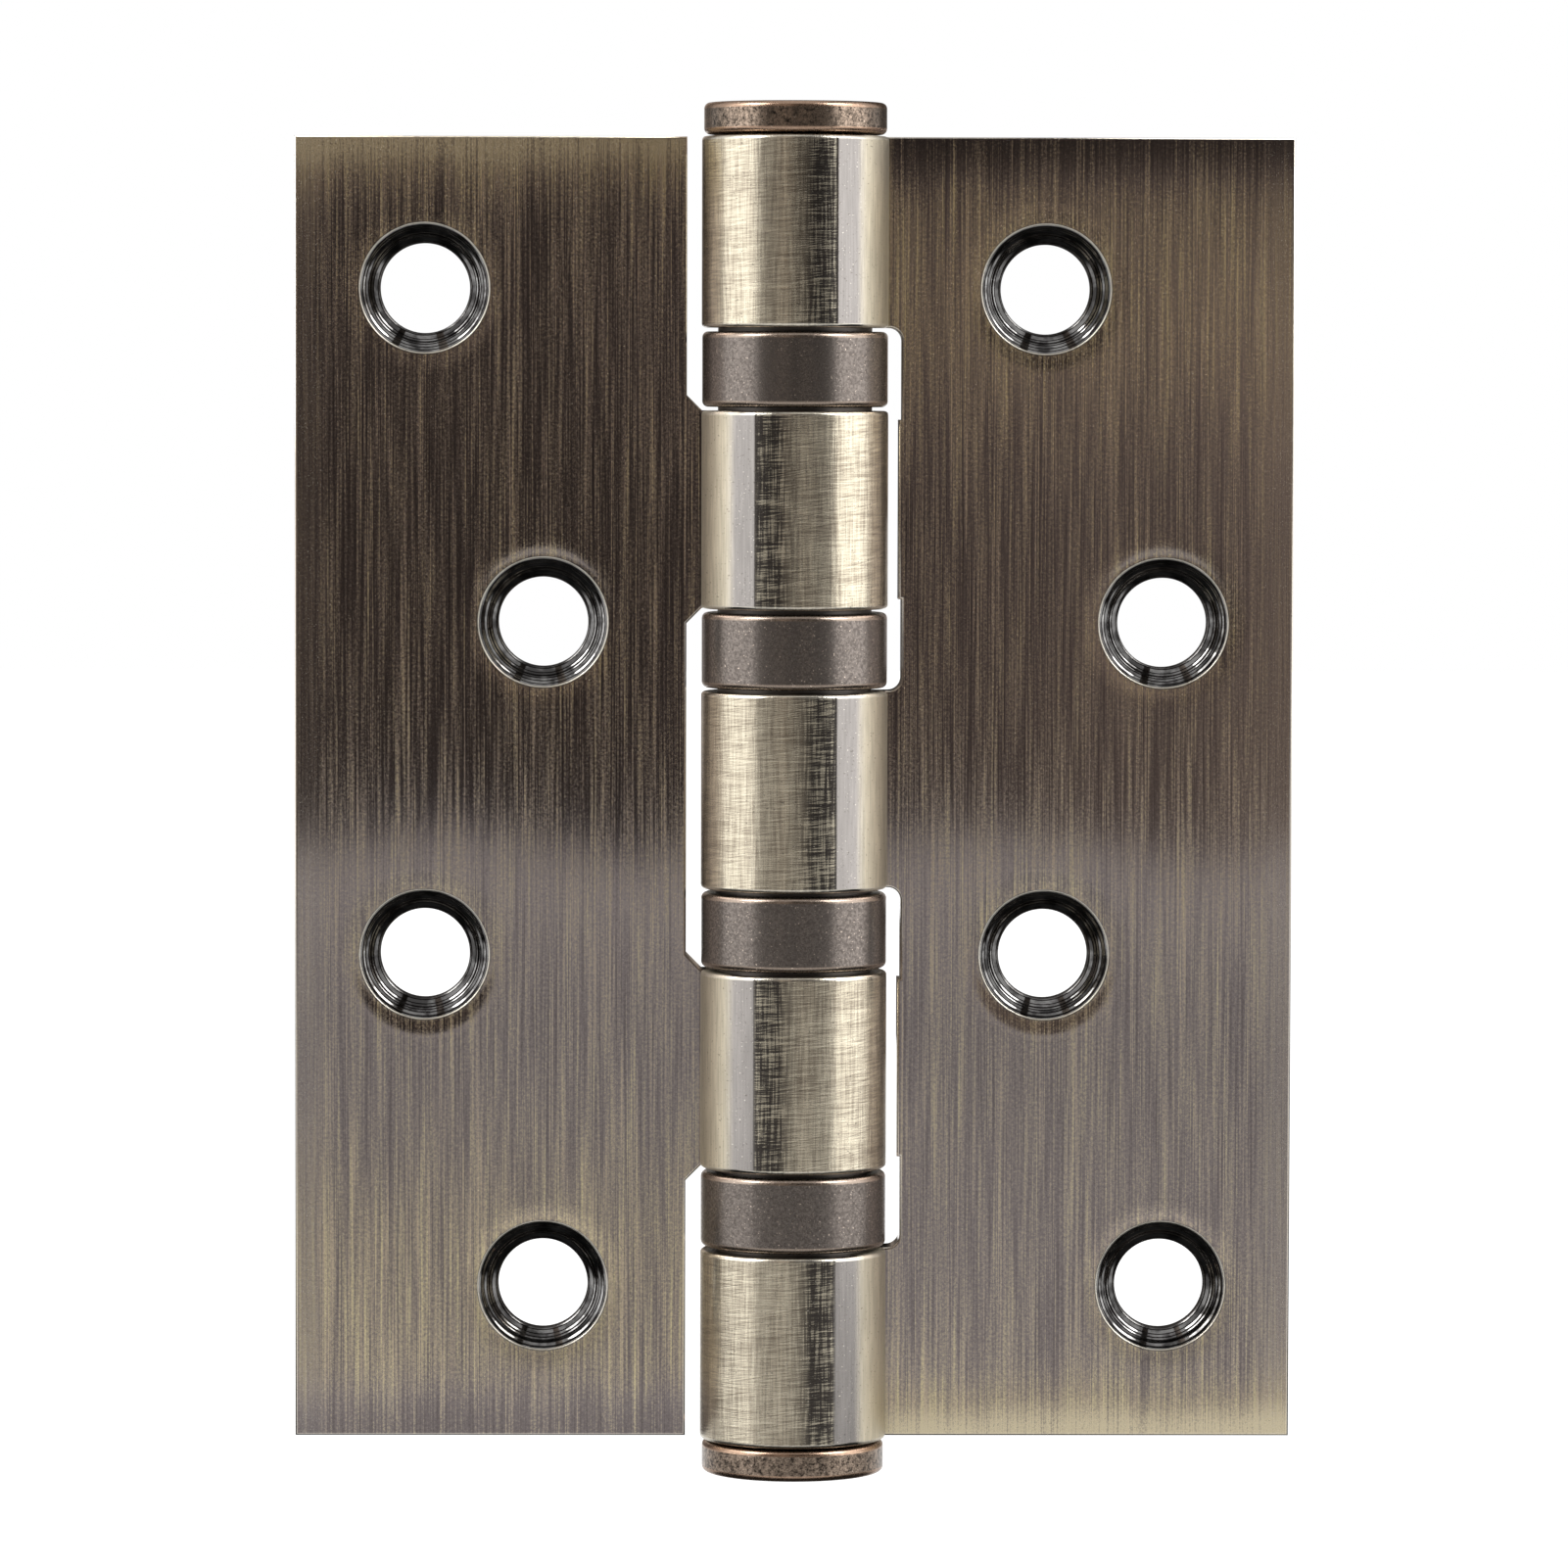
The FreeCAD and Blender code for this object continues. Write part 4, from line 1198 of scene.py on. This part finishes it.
fold_tree, given, folded = new_group("Fold a leaf", "Geometry", {
    **GEOMETRY, "Object": ["Countersink", "Hole centres"],
    "Float": ["Bend across", "Bend up", "Bend radius", "Bend angle", "Roll radius", "Turn"],
    "Material": ["Plate finish", "Knuckle finish", "Countersink finish"]}, GEOMETRY)
cup, centres = [
    output_of(fold_tree, "GeometryNodeObjectInfo", {"Object": given[name]}, "Geometry")
    for name in ("Countersink", "Hole centres")]
cups = output_of(fold_tree, "GeometryNodeInstanceOnPoints", {"Points": centres, "Instance": cup})
cups = after_node("RealizeInstances", cups)
joined = add_node(fold_tree, "GeometryNodeJoinGeometry")
for part in (given["Geometry"], cups):
    link(part, joined.inputs[0])
shape = after_node("MergeByDistance", Signal(joined.outputs[0]), {"Distance": WELD * MM})

region = output_of(fold_tree, "GeometryNodeInputNamedAttribute", {"Name": "Region"}, data_type="INT")
distance, depth, up = axes(output_of(fold_tree, "GeometryNodeInputPosition"))


def compared(operation, first, second, kind="INT"):
    """Whether a comparison of two numbers holds; whole numbers have their own two inputs."""
    place = 2 if kind == "INT" else 0
    return output_of(fold_tree, "FunctionNodeCompare", {place: first, place + 1: second},
                     data_type=kind, operation=operation)


shape = after_node("StoreNamedAttribute", shape, {
    "Selection": compared("NOT_EQUAL", region, SINK), "Name": "Blank",
    "Value": combined(fold_tree, distance / MM, up / MM)}, data_type="FLOAT2", domain="CORNER")

# %% Fold a leaf: bend and roll
bend_length = given["Bend radius"] * given["Bend angle"]
bend_turn = maths("MAXIMUM", distance / given["Bend radius"], 0.0)
bend_turn = maths("MINIMUM", bend_turn, given["Bend angle"])
bend_reach = given["Bend radius"] - depth
on_plate = maths("MAXIMUM", distance * -1.0, 0.0)
bent = combined(fold_tree, given["Bend across"] + on_plate - bend_reach * maths("SINE", bend_turn),
                given["Bend up"] - bend_reach * maths("COSINE", bend_turn), up)
roll_turn = maths("MAXIMUM", distance - bend_length, 0.0) / given["Roll radius"]
roll_turn += math.pi / 2 - given["Bend angle"]
roll_reach = given["Roll radius"] + depth
rolled = combined(fold_tree, roll_reach * maths("COSINE", roll_turn),
                  roll_reach * maths("SINE", roll_turn), up)
past_bend = compared("GREATER_THAN", distance, bend_length, "FLOAT")
new_place = output_of(fold_tree, "GeometryNodeSwitch", {"Switch": past_bend, "False": bent, "True": rolled},
                      input_type="VECTOR")
shape = after_node("SetPosition", shape, {"Position": new_place})
shape = after_node("Transform", shape, {"Rotation": combined(fold_tree, 0.0, given["Turn"])})
shape = after_node("RealizeInstances", shape)
for number, finish in ((PLATE, "Plate finish"), (KNUCKLE, "Knuckle finish"), (SINK, "Countersink finish")):
    shape = after_node("SetMaterial", shape, {
        "Selection": compared("EQUAL", region, number), "Material": given[finish]})
link(shape, folded.inputs[0])
print("Folding tree:", len(fold_tree.nodes), "nodes")

# %% [markdown]
# ## The two leaves
#
# The frame leaf has three straps and rounded slot corners with a shallow relief, and the door leaf has two
# straps and chamfered corners. Their screw holes step between an outer and an inner row. The door leaf is
# the same fold turned half a turn, so both blanks have the same holes, counted from opposite ends.

# %% Fold both leaves
HOLE_PITCH = 26.0
OUTER_INSET = 10.11
INNER_INSET = 19.36
FRAME_SLOT_GAP = 0.86
RELIEF_DEPTH = 0.24
RELIEF_OVERLAP = 0.7
SLOT_ROUND = 1.0
DOOR_SLOT_GAP = 1.15
SLOT_CHAMFER = 1.2

knuckle_pitch = KNUCKLE_LENGTH + BEARING_SPACE
middle_face = KNUCKLE_LENGTH / 2
outer_face = 1.5 * KNUCKLE_LENGTH + 2 * BEARING_SPACE
frame_straps = [(-HALF_HEIGHT, -outer_face), (-middle_face, middle_face), (outer_face, HALF_HEIGHT)]
door_straps = [(-knuckle_pitch - middle_face, -knuckle_pitch + middle_face),
               (knuckle_pitch - middle_face, knuckle_pitch + middle_face)]
holes = [(PLATE_END + inset, HOLE_PITCH * steps) for inset, steps in (
    (INNER_INSET, 1.5), (OUTER_INSET, 0.5), (INNER_INSET, -0.5), (OUTER_INSET, -1.5))]


def make_leaf(node, body, straps, corner, slot_gap, relief, turn):
    """One finished leaf: blank, countersinks, fold and finishes, riding on its body."""
    slot_line = BEND_ACROSS - BARREL - slot_gap
    leaf = make_blank(node + "_rolled", straps, corner, slot_line, relief, holes)
    points = bpy.data.meshes.new(node + "_centres")
    points.from_pydata([Vector((across, 0.0, up)) * MM for across, up in holes], [], [])
    centres = new_object(node + "_centres", points)
    grow(leaf, fold_tree, {
        "Countersink": countersink, "Hole centres": centres, "Bend across": BEND_ACROSS * MM,
        "Bend up": BEND_UP * MM, "Bend radius": BEND_RADIUS * MM, "Bend angle": math.pi / 2 - TOUCH,
        "Roll radius": ROLL_RADIUS * MM, "Turn": turn, "Plate finish": plate_finish,
        "Knuckle finish": knuckle_finish, "Countersink finish": sink_finish})
    bpy.data.objects.remove(centres)
    put_in_place(leaf, node, body)
    print(leaf.name, len(leaf.data.polygons), "faces, materials",
          [material.name for material in leaf.data.materials])


relief_line = BEND_ACROSS - BARREL - FRAME_SLOT_GAP
make_leaf("frame_leaf", "frame_side", frame_straps, ("round", SLOT_ROUND), FRAME_SLOT_GAP + RELIEF_DEPTH,
          (relief_line, RELIEF_OVERLAP), 0.0)
make_leaf("door_leaf", "door_side", door_straps, ("chamfer", SLOT_CHAMFER), DOOR_SLOT_GAP, None, math.pi)
bpy.data.objects.remove(countersink)

# %% [markdown]
# ## Turned pieces
#
# The buttons, the pin's shaft and the bearing shells come off a lathe, so each is a profile swept round the
# axis. A profile is written as the corners on the drawing, each with the radius that breaks its edge. The
# helper puts an arc at such a corner, and a support point on both sides of it so that the flats stay flat.

# %% Lathe helpers
TURN_SEGMENTS = 144
ARC_STEPS = 6
ON_AXIS = 1e-6


def softened(corners):
    """Profile points with arcs at the corners that have a radius; each corner is radius, height, round."""
    points = []
    for index, (across, up, round_off) in enumerate(corners):
        if not round_off:
            points.append((across, up, 0.0))
            continue
        here = Vector((across, up))
        before = (Vector(corners[index - 1][:2]) - here).normalized()
        after = (Vector(corners[(index + 1) % len(corners)][:2]) - here).normalized()
        half = before.angle(after) / 2
        reach = round_off / math.tan(half)
        middle = here + (before + after).normalized() * round_off / math.sin(half)
        start = here + before * reach - middle
        sweep = start.angle_signed(here + after * reach - middle)
        points.append((*(here + before * (reach + SUPPORT)), 0.0))
        for step in range(ARC_STEPS + 1):
            spoke = Matrix.Rotation(-sweep * step / ARC_STEPS, 2) @ start
            points.append((*(middle + spoke), 1.0))
        points.append((*(here + after * (reach + SUPPORT)), 0.0))
    return points


def turned_mesh(name, corners, closed, height=0.0):
    """A profile swept round the Z axis; a closed profile makes a ring, an open one ends on the axis."""
    vertices, wear, rows, faces = [], [], [], []
    for radius, up, worn in softened(corners):
        start = len(vertices)
        steps = 1 if radius < ON_AXIS else TURN_SEGMENTS
        circle = ring_points((0.0, 0.0), radius, TURN_SEGMENTS)[:steps]
        vertices += [(across, deep, up + height) for across, deep in circle]
        rows.append([start + step % steps for step in range(TURN_SEGMENTS)])
        wear += [worn] * steps
    pairs = list(zip(rows, rows[1:])) + ([(rows[-1], rows[0])] if closed else [])
    for first, second in pairs:
        for step in range(TURN_SEGMENTS):
            after = (step + 1) % TURN_SEGMENTS
            faces.append(list(dict.fromkeys([first[step], first[after], second[after], second[step]])))
    return build_mesh(name, vertices, faces, wear)


def finish_turned(name, corners, closed, node, body, finish, height=0.0):
    """A turned piece with its finish, riding on its body in place of its node."""
    mesh = turned_mesh(name, corners, closed, height)
    mesh.materials.append(finish)
    piece = new_object(name, mesh)
    put_in_place(piece, node, body)
    return piece


# %% [markdown]
# ## Pin and plug
#
# The pin is one turned piece: a flat round button over a shaft as long as the hinge, with a tapered tip. The
# plug is the same button with a short shank pressed into the last knuckle, and a small hole through which
# the pin is punched out. The button's face is finished like its rim, and the shaft is ground.

# %% Pin and plug
PIN_RADIUS = 4.2
PIN_TIP = 1.2
TIP_GAP = 0.6
BUTTON_RADIUS = 7.1
BUTTON_HEIGHT = 2.45
BUTTON_ROUND = 0.45
BUTTON_SEAT = 0.15
SEAT_RADIUS = 5.8
PLUG_SHANK = 7.0
KNOCKOUT = 1.4
FINE_ROUND = 0.15
SHANK_ROUND = 0.2
TAPER_ROUND = 0.4
AT_SEAT = 0.01

foot = PLUG_SHANK + TIP_GAP - HALF_HEIGHT
shank_top = PLUG_SHANK - HALF_HEIGHT
rim_low = HALF_HEIGHT + BUTTON_SEAT
rim_high = rim_low + BUTTON_HEIGHT
pin_corners = [
    (0.0, foot, 0.0), (PIN_RADIUS - PIN_TIP / 2, foot, FINE_ROUND), (PIN_RADIUS, foot + PIN_TIP, TAPER_ROUND),
    (PIN_RADIUS, HALF_HEIGHT, 0.0), (SEAT_RADIUS, HALF_HEIGHT, 0.0), (SEAT_RADIUS, rim_low, 0.0),
    (BUTTON_RADIUS, rim_low, BUTTON_ROUND), (BUTTON_RADIUS, rim_high, BUTTON_ROUND), (0.0, rim_high, 0.0)]
plug_corners = [
    (KNOCKOUT, -rim_high, FINE_ROUND), (BUTTON_RADIUS, -rim_high, BUTTON_ROUND),
    (BUTTON_RADIUS, -rim_low, BUTTON_ROUND), (SEAT_RADIUS, -rim_low, 0.0), (SEAT_RADIUS, -HALF_HEIGHT, 0.0),
    (BORE, -HALF_HEIGHT, 0.0), (BORE, shank_top, SHANK_ROUND), (KNOCKOUT, shank_top, FINE_ROUND)]
pin = finish_turned("pin_turned", pin_corners, False, "pin", "loose_pin", button_finish)
pin.data.materials.append(shaft_finish)
seat_height = (HALF_HEIGHT - AT_SEAT) * MM
for face in pin.data.polygons:
    face.material_index = 1 if face.center.z < seat_height else 0
plug = finish_turned("plug_turned", plug_corners, True, "bottom_plug", "frame_side", button_finish)
print("Pin %d faces, plug %d faces" % (len(pin.data.polygons), len(plug.data.polygons)))

# %% [markdown]
# ## Bearing shells
#
# Each bearing is held together by a drawn cup whose two rims are crimped over the races, which leaves them
# rounded. All four shells are the same profile at another height.

# %% Shells
SHELL_HEIGHT = 5.85
SHELL_RADIUS = 7.22
SHELL_WALL = 0.55
SHELL_ROUND = 0.45
LIP_EDGE = 0.12
BOSS_RADIUS = 6.0
LIP_CLEARANCE = 0.15


def bearing_node(number, part):
    """A bearing part's node name, and the height of its middle in metres."""
    node = "bearing_%d_%s" % (number, part)
    low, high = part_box(node)
    return node, (low.z + high.z) / 2


end = SHELL_HEIGHT / 2
inner_end = end - SHELL_WALL
inner_wall = SHELL_RADIUS - SHELL_WALL
lip = BOSS_RADIUS + LIP_CLEARANCE
shell_corners = [
    (lip, -end, LIP_EDGE), (SHELL_RADIUS, -end, SHELL_ROUND), (SHELL_RADIUS, end, SHELL_ROUND),
    (lip, end, LIP_EDGE), (lip, inner_end, 0.0), (inner_wall, inner_end, 0.0),
    (inner_wall, -inner_end, 0.0), (lip, -inner_end, 0.0)]
for number in (1, 2, 3, 4):
    node, middle = bearing_node(number, "shell")
    body = "door_side" if number % 2 else "frame_side"
    shell = finish_turned(node + "_crimped", shell_corners, True, node, body, shell_finish,
                          middle / MM)
print("Shell faces:", len(shell.data.polygons))

# %% [markdown]
# ## Ball rings
#
# Fourteen balls stand on a circle between the races. That is a repeat on a rule, so a tree makes it: a
# circle with one point for each ball, a ball on each point, and then real geometry with its finish. Each
# ring is its own piece, because each ring turns on its own at half the leaf's angle.

# %% Ball rings and races
BALL_COUNT = 14
BALL_RADIUS = 1.0
BALL_LEVEL = 4

ball_tree, given, ringed = new_group("Ball ring", "Geometry", {
    **GEOMETRY, "Int": ["Balls"], "Float": ["Pitch radius", "Ball radius", "Height"],
    "Material": ["Finish"]}, GEOMETRY)
circle = output_of(ball_tree, "GeometryNodeMeshCircle", {
    "Vertices": given["Balls"], "Radius": given["Pitch radius"]})
ball = output_of(ball_tree, "GeometryNodeMeshIcoSphere", {
    "Radius": given["Ball radius"], "Subdivisions": BALL_LEVEL})
shape = output_of(ball_tree, "GeometryNodeInstanceOnPoints", {"Points": circle, "Instance": ball})
shape = after_node("Transform", shape, {"Translation": combined(ball_tree, 0.0, 0.0, given["Height"])})
shape = after_node("RealizeInstances", shape)
shape = after_node("SetShadeSmooth", shape, {"Shade Smooth": True})
shape = after_node("SetMaterial", shape, {"Material": given["Finish"]})
link(shape, ringed.inputs[0])
for number in (1, 2, 3, 4):
    node, middle = bearing_node(number, "balls")
    outer_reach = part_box(node)[1].x
    ring = grow(new_object(node + "_ring", bpy.data.meshes.new(node)), ball_tree, {
        "Balls": BALL_COUNT, "Pitch radius": outer_reach - BALL_RADIUS * MM, "Ball radius": BALL_RADIUS * MM,
        "Height": middle, "Finish": ball_finish})
    put_in_place(ring, node, "ball_ring_%d" % number)
    for part in ("upper", "lower"):
        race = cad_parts["bearing_%d_%s_race" % (number, part)]
        race.data.materials.clear()
        race.data.materials.append(race_finish)
print("Balls in a ring: %d, %d faces" % (BALL_COUNT, len(ring.data.polygons)))
